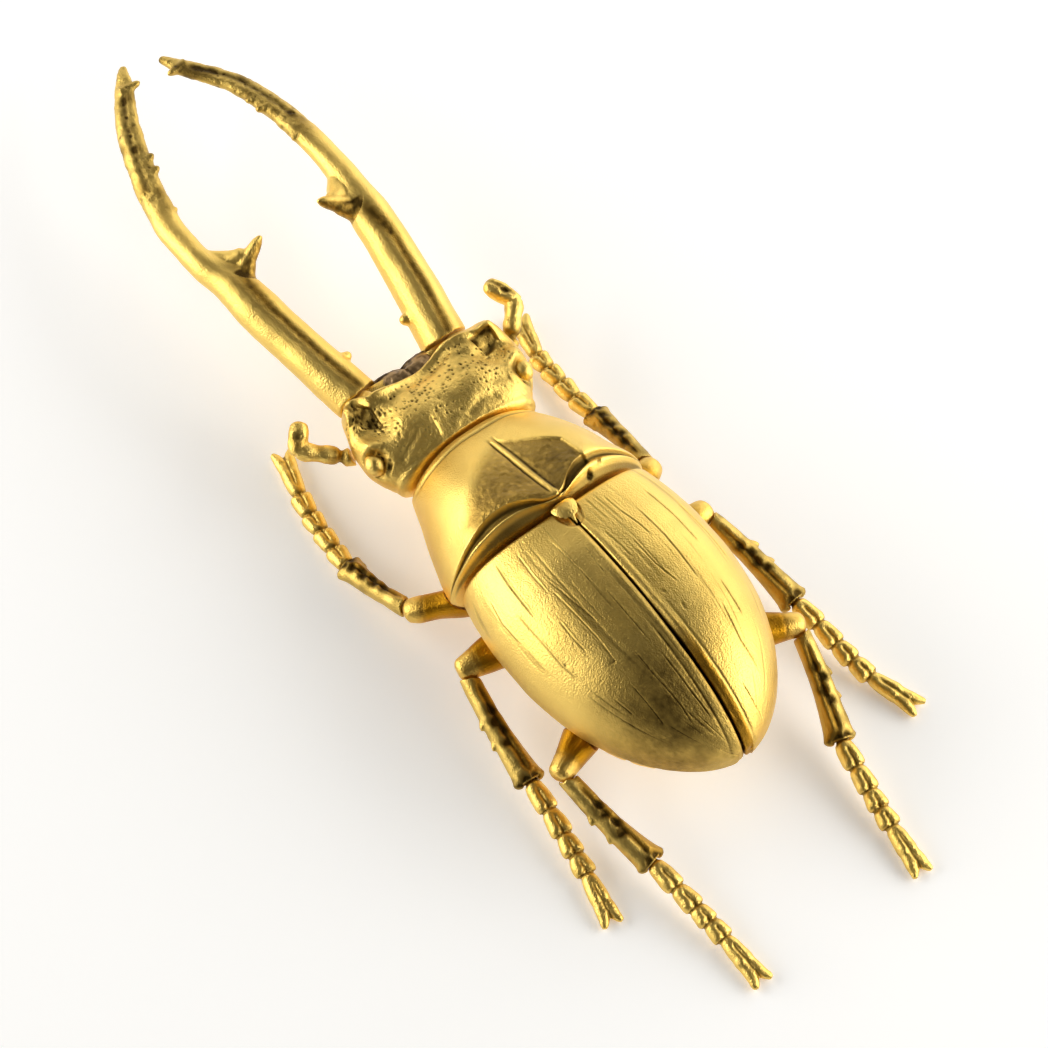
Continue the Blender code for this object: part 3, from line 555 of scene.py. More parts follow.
def makeWingCase(hand, side):
    shape = caseShape
    inner = shape["inner"]
    angles = np.linspace(0, math.pi / 2, shape["arc"])
    rings = []
    for y in np.linspace(shape["front"], shape["rear"], shape["stations"]):
        fade = max(0.0, 1 - (y - shape["front"]) / 6)
        halfWidth, top = float(shape["width"](y)), float(shape["top"](y))
        groove, sunk = float(shape["suture"](y)) * shape["seamShare"][side], shape["seamDepth"][side]
        power = 2 / shape["fullness"]
        x = inner + groove + (halfWidth - inner - groove) * np.sin(angles) ** power
        z = np.maximum(rimHeight + (top - rimHeight) * np.cos(angles) ** power, rimHeight + 0.1)
        under = rimHeight + gap
        points = [(inner, under), (inner, (top + rimHeight) / 2), (inner, top - 2 * sunk)]
        points += [(inner + 0.08, top - sunk), (inner + 0.6 * groove, top - 0.7 * sunk)]
        points += list(zip(x, z))
        points += [(halfWidth - 0.5, rimHeight - 0.3), (halfWidth * 0.88, under), (halfWidth * 0.45, under)]
        bow = fade * fade * shape["seamBow"]
        rings.append([(side * px, y - bow * (px / 14.8) ** 2, pz) for px, pz in points])
    piece = makeForms(f"wingCaseFine_{hand}", [rings], shape["levels"])

    def relief(spots, outward):
        x, y = np.abs(spots[:, 0]), spots[:, 1]
        above = step(outward[:, 2], 0.05, 0.3)
        lines = engraved(spots, caseLines[hand], shape["grooveWidth"]) * above
        burr = engraved(spots + (0.15, 0.08, 0), caseLines[hand], 0.08) * above * (1 - lines)
        nicks = engraved(spots, caseNicks[hand], 0.14) * above
        # brushed lines that draw together towards the rear as the case narrows
        drawn = spots.copy()
        drawn[:, 0] = spots[:, 0] / shape["width"](y) * 14.0
        hair = step(lumps(drawn * (1, 0.028, 0.06), 0.26, 7 + side), 0.48, 0.85) * above
        streak = lumps(drawn * (1, 0.06, 0.1), 1.1, 11 + side)
        bristle = lumps(drawn * (1, 0.12, 0.2), 0.2, 13)
        rear = step(y, 24, 31)
        strip = bell(x - 1.6, 0.14) * step(y, 22, 27) * above
        roll = bell(x - 0.8, 0.35) * step(y, 9, 13) * (1 - 0.7 * rear) * above
        seam = step((1.45 if side < 0 else 0.5) - x, 0.0, 0.3) * rear
        fromPlate = np.hypot(x / 1.45, (y - 7.1) / 2.0)
        plateEdge = np.abs(fromPlate - 1.08)
        plate = step(1.12 - fromPlate, 0.0, 0.12)
        wave = waves(spots, (4.0, 3, 0.035), (1.6, 5, 0.007))
        grit = lumps(spots, 0.35, 15) * 0.007 + bristle * 0.010
        rough = lumps(spots * (1, 0.35, 1), 0.5, 17) * 0.07
        height = wave + grit + seam * rough - shape["grooveDepth"] * lines + 0.045 * burr - 0.08 * nicks
        height -= 0.08 * strip
        height += 0.10 * roll - 0.035 * hair - 0.25 * plate
        throat = step(0.24 - x, 0.0, 0.12) * (spots[:, 2] > 12)
        paintedShade = 0.0 * x
        for place, radius, amount in caseShadeAreas[hand]:
            paintedShade += amount * swell(x, y, place, radius)
        patinaAndShade = 0.58 * lines ** 1.5 + 0.45 * nicks + 0.4 * strip + 0.34 * hair + 0.08 * streak
        patinaAndShade += 0.5 * throat
        # painted shade: the dark reflection over the middle and rear of the wing cases, added to the dark
        # tone
        patinaAndShade += paintedShade * (0.29 + 0.05 * lumps(spots, 1.2, 19) + 0.06 * lumps(spots, 0.35, 20))
        patinaAndShade += 0.4 * bell(plateEdge, 0.1) * above + seam * (0.15 + 0.35 * clipped(rough / 0.07))
        patinaAndShade += 0.10 * clipped(lumps(spots, 2.2, 9))
        return height, patinaAndShade, 0.75 * seam + 0.5 * throat + 0.12 * rear

    settle(piece, relief, f"wing_case_{hand}")


for hand, side in bothSides:
    makeWingCase(hand, side)


# Neck shield

shieldShape = {
    "width": curveThrough([(-12.4, 9.2), (-11.0, 9.7), (-8.0, 10.7), (-4.5, 12.0), (-1.0, 13.1),
        (1.5, 13.8), (3.5, 14.1), (5.9, 13.4)]),
    "top": curveThrough([(-12.4, 13.9), (-11.0, 15.3), (-8.0, 17.5), (-4.0, 19.5), (0.0, 21.1), (3.0, 22.2),
        (5.9, 22.4)]),
    "rim": curveThrough([(-12.4, 8.8), (5.9, 10.0)]),
    "belly": curveThrough([(-12.4, 5.2), (-6.0, 4.6), (5.9, 4.6)]),
    "edge": curveThrough([(0.0, 5.0), (1.2, 4.7), (2.8, 3.5), (5.0, 2.3), (7.5, 1.9), (10.5, 2.3),
        (13.0, 3.0), (15.0, 3.4)]),
    "drops": ((0.0, 0.0), (0.05, 0.7), (0.16, 1.05), (0.28, 0.8), (0.36, 0.35), (0.44, 0.22), (0.52, 0.35),
        (0.6, 0.95), (0.75, 1.5), (1.0, 1.7)),
    "neck": -12.2, "ledge": 3.4, "waist": 5.6, "front": 24, "angles": ringAngles(88, 24),
    "fullness": 2.1, "levels": 2,
    "leftField": [(-1.0, -8.8), (4.4, -6.0), (10.6, -0.2), (10.4, 4.2), (-1.0, 6.8)],
    "rightField": [(-0.3, 5.6), (-6.4, 3.0), (-6.0, -2.0), (-0.3, -7.4)],
    "collar": [[(9.7, -9.9), (6.0, -10.3), (2.0, -10.6), (-4.0, -10.5), (-9.1, -9.7)]],
    "dimples": [[(-5.1, 4.2), (-5.5, 4.6)], [(-7.2, 3.2), (-7.6, 3.4)]],
}


def neckSeam(x):
    # where the neck shield meets the head, bowed back at the sides
    return -12.2 + 1.1 * (x / 9.0) ** 2


def waistSeam(x):
    # where the wing cases and the breast meet the neck shield, bowed forward at the sides
    return 5.9 - 1.9 * (x / 14.8) ** 2


def shieldRelief(x, y):
    groove = bell(x, 0.7) * swell(0 * y, y, (0.0, -2.0), 8.0)
    side = np.abs(x)
    return -0.6 * groove - 0.4 * swell(side, y, (11.2, 0.6), 3.6) + 0.4 * swell(side, y, (7.5, -4.0), 6.0)


def makeShield():
    shape = shieldShape
    rings = []
    for share in np.linspace(0, 1, shape["front"], endpoint=False):
        y = shape["neck"] + (shape["ledge"] - shape["neck"]) * share
        yOf = lambda x: neckSeam(x) * (1 - share) + shape["edge"](np.abs(x)) * share
        rings.append(shapeRing(shape, y, yOf, shieldRelief))
    for share, drop in shape["drops"]:
        y = shape["ledge"] + (shape["waist"] - shape["ledge"]) * share
        yOf = lambda x: shape["edge"](np.abs(x)) * (1 - share) + (waistSeam(x) - gap) * share
        rings.append(shapeRing(shape, y, yOf, lambda x, y: -drop + 0 * x))
    piece = makeForms("neckShieldFine", [rings], shape["levels"])

    def relief(spots, outward):
        x, y = spots[:, 0], spots[:, 1]
        above = step(outward[:, 2], 0.0, 0.3)
        # the rough middle: two hollow fields that a double groove divides
        left = 1.1 * inside(spots, shape["leftField"], 2.2) * step(x, -0.4, 0.3)
        right = inside(spots, shape["rightField"], 0.35)
        edge = shape["edge"](np.abs(x))
        rough = (left + right) * above * step(edge - y, 0.0, 0.4)
        length = step(y, -8.6, -7.2) * (1 - step(y, 3.4, 4.4)) * above
        twin = (bell(x - 0.3, 0.15) + bell(x + 0.42, 0.15)) * length
        ridge = bell(x + 0.06, 0.16) * length
        hammered = waves(spots, (0.8, 21, 0.05), (0.32, 23, 0.045))
        collar = engraved(spots, shape["collar"], 0.2)
        share = (y - edge) / (waistSeam(x) - gap - edge)
        gutter = bell(share - 0.15, 0.10) + 0.75 * step(share, 0.56, 0.7)
        dimple = engraved(spots, shape["dimples"], 0.45) * above
        brushed = lumps(spots * (0.5, 1, 1), 0.3, 26) * 0.006
        wave = lumps(spots, 3.5, 25) * 0.05
        height = wave + brushed + rough * hammered - 0.30 * right * above - 0.15 * left * above
        height += 0.10 * ridge - 0.16 * twin - 0.18 * collar * above - 0.4 * dimple
        rough *= 0.55 + 0.45 * step(y, -7.5, 0.5)
        worn = step(lumps(spots, 0.45, 28), 0.2, 0.7)
        dark = rough * (0.56 + 0.16 * clipped(-lumps(spots, 0.5, 27)) - 0.16 * worn)
        patinaAndShade = dark + 0.18 * right * above + 0.8 * twin + 0.75 * collar * above + 0.95 * gutter * above
        patinaAndShade += 0.6 * dimple
        patinaAndShade += 0.08 * clipped(lumps(spots, 2.2, 29))
        return height, patinaAndShade, 0.35 * rough + 0.25 * gutter * above

    settle(piece, relief, "neck_shield")


makeShield()


# Head and lip

headShape = {
    "width": curveThrough([(-25.4, 8.8), (-24.8, 9.8), (-23.8, 10.9), (-22.0, 11.6), (-19.0, 12.2),
        (-16.5, 12.1), (-14.5, 11.3), (-13.0, 10.3), (-11.5, 9.3)]),
    "lean": curveThrough([(-26.0, -0.8), (-22.0, -0.8), (-18.0, -0.35), (-14.0, 0.0)]),
    "top": curveThrough([(-25.4, 11.3), (-24.6, 12.3), (-23.4, 13.0), (-21.0, 13.7), (-17.0, 14.6),
        (-14.0, 14.3), (-11.5, 13.6)]),
    "rim": curveThrough([(-25.4, 9.2), (-22.0, 10.8), (-17.0, 10.6), (-11.5, 9.2)]),
    "belly": curveThrough([(-25.4, 6.8), (-24.0, 5.7), (-18.0, 4.8), (-11.5, 5.0)]),
    "brow": curveThrough([(-10.5, -22.8), (-8.0, -23.4), (-4.9, -24.0), (-1.9, -23.3), (0.5, -22.9),
        (3.4, -22.8), (5.6, -23.0), (7.7, -23.4), (9.5, -23.7)]),
    "angles": ringAngles(92, 24), "fullness": 2.3, "levels": 2,
    "stations": (-25.4, -25.25, -25.0, -24.7, -24.4, -24.0, -23.6, -23.2, -22.8, -22.3, -21.8, -21.3, -20.8,
        -20.2, -19.6, -19.0, -18.4, -17.8, -17.2, -16.6, -16.0, -15.4, -14.8, -14.3, -13.8, -13.4, -13.0,
        -12.75),
    "last": -12.5, "pitSize": 0.54, "pitDepth": 0.14,
    "fingers": [[(3.1, -13.3), (2.9, -14.6), (2.7, -16.0)]],
    "furrows": [[(8.8, -13.6), (6.4, -14.8), (4.4, -15.6)], [(-1.0, -13.4), (-3.4, -14.3), (-6.0, -13.8)],
        [(-6.0, -15.6), (-8.6, -15.2)]],
    "behindEyes": [[(10.1, -14.5), (9.7, -14.0)], [(-10.4, -14.4), (-10.1, -13.9)]],
    "leftShadedFacet": [(7.3, -18.7), (7.0, -21.8), (9.7, -23.7), (10.6, -21.4)],
    "rightShadedFacet": [(-8.2, -19.4), (-11.0, -20.4), (-10.6, -22.4), (-7.6, -22.6)],
}


def headRelief(x, y):
    side = np.abs(x)
    height = 2.3 * swell(side, y, (10.4, -22.9), 3.0) + 0.9 * swell(side, y, (6.6, -23.2), 3.4)
    height = height - 1.3 * swell(side, y, (0.0, -23.6), 4.6) - 0.8 * swell(side, y, (8.6, -19.4), 3.2)
    return height + 0.8 * swell(side, y, (11.2, -17.2), 2.8) + 0.4 * swell(side, y, (4.0, -17.0), 4.0)


def makeHead():
    shape = headShape
    rings = []
    for y in shape["stations"]:
        rings.append(shapeRing(shape, y, lambda x: y, headRelief, float(shape["lean"](y))))
    rings.append(shapeRing(shape, shape["last"], lambda x: neckSeam(x) - gap))
    piece = makeForms("headFine", [rings], shape["levels"])

    def relief(spots, outward):
        x, y = spots[:, 0], spots[:, 1]
        above = step(outward[:, 2], 0.05, 0.35)
        brow = y - shape["brow"](x)
        crest = bell(brow - 0.35, 0.38) * above * step(10.8 - np.abs(x + 0.5), 0, 1)
        behind = bell(brow - 1.5, 0.6) * above * step(8.5 - np.abs(x + 0.5), 0, 1)
        front = step(-brow, -0.1, 0.7) * step(6.4 - np.abs(x + 0.2), 0.0, 1.6) * above
        smoothLobe = swell(x, y, (-11.9, -20.6), 2.2) + swell(x, y, (10.9, -18.2), 2.6)
        smoothLobe = smoothLobe + swell(x, y, (-11.0, -16.5), 2.0) + swell(x, y, (5.5, -15.5), 2.0)
        dots = pits(spots * (1, 1, 0.4), shape["pitSize"], 0.92, 31) * above * clipped(1 - smoothLobe * 1.6)
        dots = dots * step(-13.9 - y, 0.0, 1.5) * step(brow, 0.5, 1.0)
        # the two facets behind the front corners are carved down and painted dark: painted shade of these
        # concave facets
        shadedCornerLeft = inside(spots, shape["leftShadedFacet"], 0.3) * above
        shadedCornerRight = inside(spots, shape["rightShadedFacet"], 0.4) * above
        fingers = engraved(spots, shape["fingers"], 0.26) + 0.5 * swell(x, y, (0.6, -13.6), 0.8)
        furrows = engraved(spots, shape["furrows"], 0.55)
        eyePit = bell(np.hypot(np.abs(x) - 10.9, (y + 15.9) / 1.1), 1.35, 4) * above
        behindEye = engraved(spots, shape["behindEyes"], 0.5)
        wave = lumps(spots, 2.6, 33) * 0.10 + lumps(spots, 1.2, 35) * 0.03 * above
        wave += lumps(spots, 0.35, 36) * 0.022 * above
        height = wave + 0.42 * crest - 0.15 * behind - 1.9 * front - shape["pitDepth"] * dots
        height -= 0.45 * shadedCornerLeft
        marks = 0.16 * fingers * above - 0.14 * furrows * above - 0.95 * eyePit - 0.4 * behindEye
        height += marks - 0.4 * shadedCornerRight
        mottled = 0.75 + 0.6 * lumps(spots, 0.6, 37)
        # the corner facets' share here is painted shade; pits and furrows hold patina
        patinaAndShade = 0.95 * dots ** 0.6 + 0.75 * (shadedCornerLeft + shadedCornerRight) * mottled + 0.45 * furrows * above
        patinaAndShade += 0.6 * eyePit
        patinaAndShade += 0.8 * behindEye + 0.8 * front + 0.3 * behind * mottled
        stain = 0.55 * clipped(lumps(spots, 1.8, 39) + 0.25) * above * (1 - clipped(smoothLobe))
        patinaAndShade += stain * (0.6 + 0.6 * lumps(spots, 0.5, 38))
        return height, patinaAndShade, 0.4 * eyePit + 0.25 * clipped(lumps(spots, 3.0, 40))

    settle(piece, relief, "head")


makeHead()


# Lip, eyes and scutellum

lipShape = {
    "rings": ((-22.0, 4.4, 1.2), (-23.0, 4.5, 1.4), (-24.2, 4.6, 1.5), (-24.9, 4.6, 1.45),
        (-25.4, 4.45, 1.3), (-25.8, 4.25, 1.05), (-26.05, 4.0, 0.8), (-26.25, 3.6, 0.5)),
    "height": 9.9, "sides": 36, "levels": 2,
}


def makeLip():
    shape = lipShape
    rings = []
    for y, halfWidth, halfHeight in shape["rings"]:
        angles = np.linspace(0, 2 * np.pi, shape["sides"], endpoint=False)
        x = halfWidth * np.cos(angles)
        notch = 0.9 * swell(x, 0 * x, (0.0, 0.0), 2.4) * (y < -25)
        rings.append(np.stack([x, y + notch, shape["height"] + halfHeight * np.sin(angles)], 1))
    piece = makeForms("lipFine", [rings], shape["levels"])

    def relief(spots, outward):
        x, y = spots[:, 0], spots[:, 1]
        middle = bell(x + 0.2, 0.3)
        grain = lumps(spots, 0.42, 43)
        height = lumps(spots, 0.9, 41) * 0.09 + grain * 0.06 - 0.16 * middle
        return height, 0.35 * middle + 0.7 * step(-y, 25.3, 25.8) + 0.5 * step(-grain, 0.0, 0.5)

    settle(piece, relief, "lip", darkBronze)


eyeShape = {"place": (10.9, -15.9, 11.6), "radii": (1.2, 1.4, 1.25), "facet": 0.2}


def makeEye(hand, side):
    shape = eyeShape
    x, y, z = shape["place"]
    piece = makeBall(f"eyeFine_{hand}", (side * x, y, z), shape["radii"])

    def relief(spots, outward):
        facets = pits(spots, shape["facet"], 1.0, 51)
        return lumps(spots, 0.8, 53) * 0.05 - 0.015 * facets, 0.05 + 0.2 * facets

    settle(piece, relief, f"eye_{hand}")


scutellumShape = {"place": (0.0, 6.9, 19.7), "radii": (2.5, 2.9, 1.95), "voxel": 0.07}


def makeScutellum():
    shape = scutellumShape
    piece = makeBall("scutellumFine", shape["place"], shape["radii"])
    clearOf(piece, shape["voxel"], 6, "neck_shield", "wing_case_left", "wing_case_right", "breast")

    def relief(spots, outward):
        dents = pits(spots * (1, 1, 0.3), 0.55, 0.7, 57)
        patinaAndShade = 0.15 * dents + 0.1 * clipped(lumps(spots, 0.7, 59))
        return lumps(spots, 0.9, 55) * 0.04 - 0.04 * dents, patinaAndShade

    settle(piece, relief, "scutellum")


makeLip()
makeScutellum()
for hand, side in bothSides:
    makeEye(hand, side)


# Jaws

jawShape = {
    "path": [(5.7, -22.0, 9.2), (6.8, -27.0, 9.9), (7.6, -31.5, 10.4), (8.5, -37.0, 11.1),
        (9.2, -42.0, 11.8), (9.65, -46.0, 12.3), (10.55, -50.5, 12.7), (10.75, -55.0, 12.8),
        (10.0, -61.7, 12.8), (8.6, -67.5, 12.8), (7.7, -70.2, 12.8), (6.2, -73.3, 12.8), (4.2, -76.6, 12.8),
        (2.2, -80.3, 12.8)],
    "lean": curveThrough([(-81.0, 0.2), (-76.5, 0.55), (-70.0, 0.3), (-61.7, 0.55), (-56.0, 0.8),
        (-50.5, 0.68), (-46.0, 0.15), (-40.0, 0.1), (-22.0, 0.0)]),
    # share of the length, half breadth, half thickness
    "sizes": [(0.0, 3.0, 2.7), (0.1, 3.0, 2.75), (0.24, 2.85, 2.6), (0.34, 2.75, 2.5), (0.4, 2.55, 2.4),
        (0.45, 2.1, 2.0), (0.5, 1.8, 1.75), (0.56, 1.75, 1.5), (0.65, 1.8, 1.25), (0.75, 1.75, 1.1),
        (0.85, 1.6, 0.95), (0.94, 1.35, 0.8), (0.98, 0.85, 0.6), (1.0, 0.45, 0.4)],
    "tilt": curveThrough([(0.0, 0.0), (0.48, 0.0), (0.62, 15.0), (0.8, 20.0), (1.0, 22.0)]),
    # foot, tip, foot radius, tip radius and the lean of the tip
    "teeth": [((5.9, -30.4, 10.3), (3.6, -30.7, 10.9), 1.5, 0.55, 0.0), ((8.9, -46.4, 12.2),
        (4.1, -48.3, 15.3), 1.7, 0.62, -0.48), ((9.9, -58.6, 13.0), (8.4, -58.8, 13.4), 0.8, 0.35, 0.0),
        ((8.9, -64.6, 13.2), (7.1, -64.9, 13.7), 0.9, 0.4, 0.0), ((8.4, -66.6, 13.2), (6.7, -66.8, 13.7),
        0.9, 0.4, 0.0), ((4.0, -77.0, 13.1), (1.6, -76.8, 13.5), 0.9, 0.4, 0.0)],
    # fillets on both sides of the main tooth
    "webs": [((10.2, -51.4, 12.5), (7.7, -48.8, 13.2), 1.4, 1.0), ((9.9, -50.2, 12.4), (7.0, -48.3, 13.6),
        1.5, 0.95), ((9.6, -49.0, 12.3), (6.1, -48.0, 14.2), 1.6, 0.85), ((8.9, -43.9, 12.0),
        (7.6, -46.0, 13.1), 1.5, 1.0), ((8.9, -45.0, 12.0), (6.2, -47.2, 14.0), 1.6, 0.85)],
    "short": {1: 0.0, -1: 1.6}, "sides": 24, "stations": 110, "voxel": 0.12, "creaseDepth": 0.13,
    "grooveDepth": 0.20, "creaseAt": {1: -0.35, -1: 0.55}, "creaseTurn": {1: 0.5, -1: 1.1},
}


def jawPoint(side, x, y, z):
    back = max(0.0, (-46.0 - y) / 34.0) ** 3
    return (side * x + float(jawShape["lean"](y)), y + jawShape["short"][side] * back, z)


def makeJaw(hand, side):
    shape = jawShape
    path = [jawPoint(side, *point) for point in shape["path"]]
    tilt = lambda share: -side * float(shape["tilt"](share))
    forms = [limbRings(path, shape["sizes"], shape["sides"], shape["stations"], tilt)]
    teeth = []
    for foot, tip, wide, narrow, lean in shape["teeth"]:
        foot, tip = Vector(jawPoint(side, *foot)), Vector(jawPoint(side, *tip)) + Vector((lean, 0, 0))
        teeth.append((np.array(foot), np.array(tip)))
        forms.append(taper(foot - (tip - foot).normalized() * 0.5, tip, wide, narrow, 14))
    for foot, tip, wide, narrow in shape["webs"]:
        foot, tip = Vector(jawPoint(side, *foot)), Vector(jawPoint(side, *tip))
        forms.append(taper(foot, tip, wide, narrow, 14))
    piece = cast(f"jawFine_{hand}", forms, shape["voxel"], 20, "head")
    line = np.array(path)
    steps = np.linalg.norm(np.diff(line, axis=0), axis=1)
    share = np.concatenate([[0], np.cumsum(steps)]) / steps.sum()
    rows = (line[:, 0], line[:, 2], share)
    lineX, lineZ, lineShare = (curveThrough(list(zip(-line[:, 1], row))) for row in rows)

    def relief(spots, outward):
        y = -spots[:, 1]
        t = lineShare(y)
        out, up = side * (spots[:, 0] - lineX(y)), spots[:, 2] - lineZ(y)
        above = step(outward[:, 2], 0.1, 0.4)
        beyond = step(t, 0.58, 0.67)
        # the crease wanders a little, and widens towards the main tooth and the root
        wander = out - shape["creaseAt"][side] + shape["creaseTurn"][side] * step(t, 0.28, 0.40)
        wander += 0.08 * np.sin(t * 31)
        broad = 0.5 + 0.3 * step(t, 0.27, 0.36) + 0.2 * (1 - step(t, 0.06, 0.14))
        crease = bell(wander, broad) * step(t, 0.03, 0.07) * (1 - step(t, 0.37, 0.42)) * above
        turned = np.radians(shape["tilt"](t))
        across = out * np.cos(turned) - up * np.sin(turned)
        groove = bell(across + 0.15, 0.55) * step(t, 0.66, 0.71) * (1 - step(t, 0.9, 0.95)) * above
        foot, tip = teeth[1]
        run = (tip - foot) / np.linalg.norm(tip - foot)
        along = (spots - foot) @ run
        aside = spots - foot - along[:, None] * run
        onTooth = step(along, 0.2, 1.4) * (np.linalg.norm(aside, axis=1) < 2.4)
        flute = onTooth * step(aside[:, 1], 0.1, 0.6)
        patch = bell(t - 0.425, 0.03) * bell(out + 0.9, 1.0) * above
        roots = np.zeros(len(spots))
        for foot, tip in teeth[2:]:
            fromRoot = np.linalg.norm(spots - foot * 0.7 - tip * 0.3, axis=1)
            roots = np.maximum(roots, bell(fromRoot, 0.8))
        hammered = waves(spots, (1.2, 61 + side, 0.09), (0.45, 63, 0.045))
        smooth = waves(spots, (3.2, 65, 0.12), (1.3, 66, 0.02), (0.45, 67, 0.01))
        dots = pits(spots, 0.9, 0.3 if side > 0 else 0.5, 69 + side) * beyond
        height = smooth * (1 - beyond) + hammered * (0.08 + 0.92 * beyond) - shape["creaseDepth"] * crease
        height += -shape["grooveDepth"] * groove - 0.10 * dots - 0.10 * flute - 0.12 * patch
        mottled = clipped(lumps(spots, 1.4, 71) * 1.4)
        patinaAndShade = (0.85 * crease ** 0.7 + 0.62 * groove) * (0.85 + 0.3 * lumps(spots, 0.5, 77))
        patinaAndShade = patinaAndShade + (0.55 + 0.35 * lumps(spots, 0.5, 75)) * flute + 0.6 * patch + 0.35 * dots + 0.35 * roots
        farSoil = beyond * (0.3 + mottled * (0.35 if side > 0 else 0.5))
        patinaAndShade += farSoil + 0.08 * clipped(lumps(spots, 2.4, 73))
        return height, patinaAndShade, 0.7 * crease + 0.5 * flute + 0.3 * beyond * mottled

    settle(piece, relief, f"jaw_{hand}")


for hand, side in bothSides:
    makeJaw(hand, side)


# Feelers

feelerShape = {
    "left": {"root": (11.0, -19.4, 8.7), "elbow": (16.6, -23.6, 10.4), "tip": (14.4, -26.2, 11.5)},
    "right": {"root": (-12.4, -20.6, 8.7), "elbow": (-16.6, -25.1, 10.4), "tip": (-14.7, -28.6, 11.5)},
    "stem": [(0.0, 0.9, 0.9), (0.16, 1.1, 1.1), (0.27, 0.66, 0.66), (0.37, 1.1, 1.1), (0.5, 1.2, 1.1),
        (0.65, 1.05, 1.0), (0.85, 1.2, 1.1), (1.0, 0.9, 0.9)],
    "club": [(0.0, 0.7, 0.7), (0.14, 1.0, 0.95), (0.3, 1.15, 1.1), (0.6, 1.25, 1.1), (0.85, 1.1, 0.9),
        (0.96, 0.75, 0.6), (1.0, 0.4, 0.35)],
    "voxel": 0.08,
}


def makeFeeler(hand, side):
    shape = feelerShape
    root, elbow, tip = (Vector(shape[hand][key]) for key in ("root", "elbow", "tip"))
    start = elbow + (elbow - tip).normalized() * 0.5
    forms = [limbRings([root, (root + elbow) / 2, elbow], shape["stem"], 18, 36),
             limbRings([start, (elbow + tip) / 2, tip], shape["club"], 18, 24)]
    piece = cast(f"feelerFine_{hand}", forms, shape["voxel"], 6, "head")
    waist = np.array(root.lerp(elbow, 0.32))
    clubRun = np.array((tip - elbow).normalized())
    clubPit = np.array(elbow.lerp(tip, 0.35)) + (0, 0, 1.0)

    def relief(spots, outward):
        above = step(outward[:, 2], 0.1, 0.5)
        joint = bell(np.linalg.norm(spots - waist, axis=1), 1.35, 4)
        along = (spots - np.array(elbow)) @ clubRun
        club = step(along, 0.2, 0.6)
        pit = bell(np.linalg.norm(spots - clubPit, axis=1), 0.55, 4)
        beside = spots[:, 0] - np.array(elbow)[0] - along * clubRun[0] - side * 0.35
        stripe = club * bell(beside, 0.3) * above
        lumpy = lumps(spots, 1.3, 83)
        height = lumpy * 0.10 + lumps(spots, 0.5, 84) * 0.03 - 0.25 * pit - 0.16 * stripe * (side < 0)
        patinaAndShade = 0.95 * joint * (0.7 + 0.3 * lumps(spots, 0.6, 86)) + 0.75 * pit
        patinaAndShade = patinaAndShade + stripe * (0.6 if side < 0 else 0.1) + 0.35 * clipped(-lumpy * 1.5)
        return height, patinaAndShade, 0.5 * joint + 0.4 * clipped(-lumpy * 2)

    settle(piece, relief, f"feeler_{hand}")


for hand, side in bothSides:
    makeFeeler(hand, side)


# Breast and belly

trunkShape = {
    "width": curveThrough([(3.5, 11.2), (5.9, 12.4), (8.0, 13.2), (14.0, 14.0), (20.0, 13.9), (26.0, 12.8),
        (31.0, 10.9), (35.0, 8.1), (37.5, 5.3), (39.4, 2.0)]),
    "belly": curveThrough([(3.5, 4.6), (14.0, 4.2), (19.0, 4.4), (26.0, 5.4), (33.0, 7.0), (37.5, 8.6),
        (39.4, 9.8)]),
    "plates": (20.6, 24.4, 28.0, 31.4, 34.4), "angles": ringAngles(20, 60), "fullness": 2.3, "levels": 2,
    "breastEnd": ((16.8, 0.1), (17.0, 0.3)), "bellyStart": ((17.3, 0.3), (17.5, 0.1), (17.9, 0.0)),
    "bellyEnd": (36.6, 37.6, 38.4, 39.2), "plateEdge": ((-0.12, 0.0), (0.0, 0.04), (0.12, 0.3), (0.3, 0.35)),
    "sockets": [[(5.0, 6.6), (9.5, 4.8)], [(-5.0, 6.6), (-9.5, 4.8)], [(4.0, 12.4), (10.5, 13.6)],
        [(-4.0, 12.4), (-10.5, 13.6)]],
}


def trunkRing(y, shrink=0.0, yOf=None):
    shape = trunkShape
    halfWidth, bottom = float(shape["width"](y)) - shrink, float(shape["belly"](y)) + shrink
    return bodyRing(yOf or (lambda x: y), halfWidth, rimHeight - 0.6, rimHeight - 0.9, bottom,
                    shape["angles"], None, shape["fullness"])


def trunkRelief(spots, outward):
    x, y = spots[:, 0], spots[:, 1]
    below = step(-outward[:, 2], 0.1, 0.5)
    middle = bell(x, 0.3) * below * step(16.6 - y, 0, 1.0)
    edges = np.zeros(len(spots))
    for plate in trunkShape["plates"]:
        edges = np.maximum(edges, bell(y - plate - 0.35, 0.22))
    dots = pits(spots * (1, 1, 0.3), 1.3, 0.4, 91) * below
    sockets = engraved(spots, trunkShape["sockets"], 0.4) * below
    height = waves(spots, (3.0, 93, 0.08), (0.7, 95, 0.02)) - 0.25 * middle - 0.10 * dots
    patinaAndShade = 0.6 * middle + 0.6 * edges + 0.5 * dots + 0.5 * sockets
    return height - 0.2 * sockets, patinaAndShade + 0.2 * clipped(lumps(spots, 2.0, 97))


def makeTrunk():
    shape = trunkShape
    breast = [trunkRing(5.9, yOf=waistSeam)] + [trunkRing(y) for y in np.linspace(6.9, 16.5, 12)]
    breast += [trunkRing(*ends) for ends in shape["breastEnd"]]
    belly = [trunkRing(*ends) for ends in shape["bellyStart"]]
    starts, tail = [shape["bellyStart"][-1][0], *shape["plates"]], shape["bellyEnd"]
    for start, end in zip(starts, [*shape["plates"], tail[0]]):
        belly += [trunkRing(start + (end - start) * share) for share in (0.3, 0.65)]
        if end < tail[0]:
            belly += [trunkRing(end + behind, shrink) for behind, shrink in shape["plateEdge"]]
    belly += [trunkRing(y) for y in tail]
    for name, rings in (("breast", breast), ("belly", belly)):
        settle(makeForms(f"{name}Fine", [rings], shape["levels"]), trunkRelief, name)


makeTrunk()


# Legs

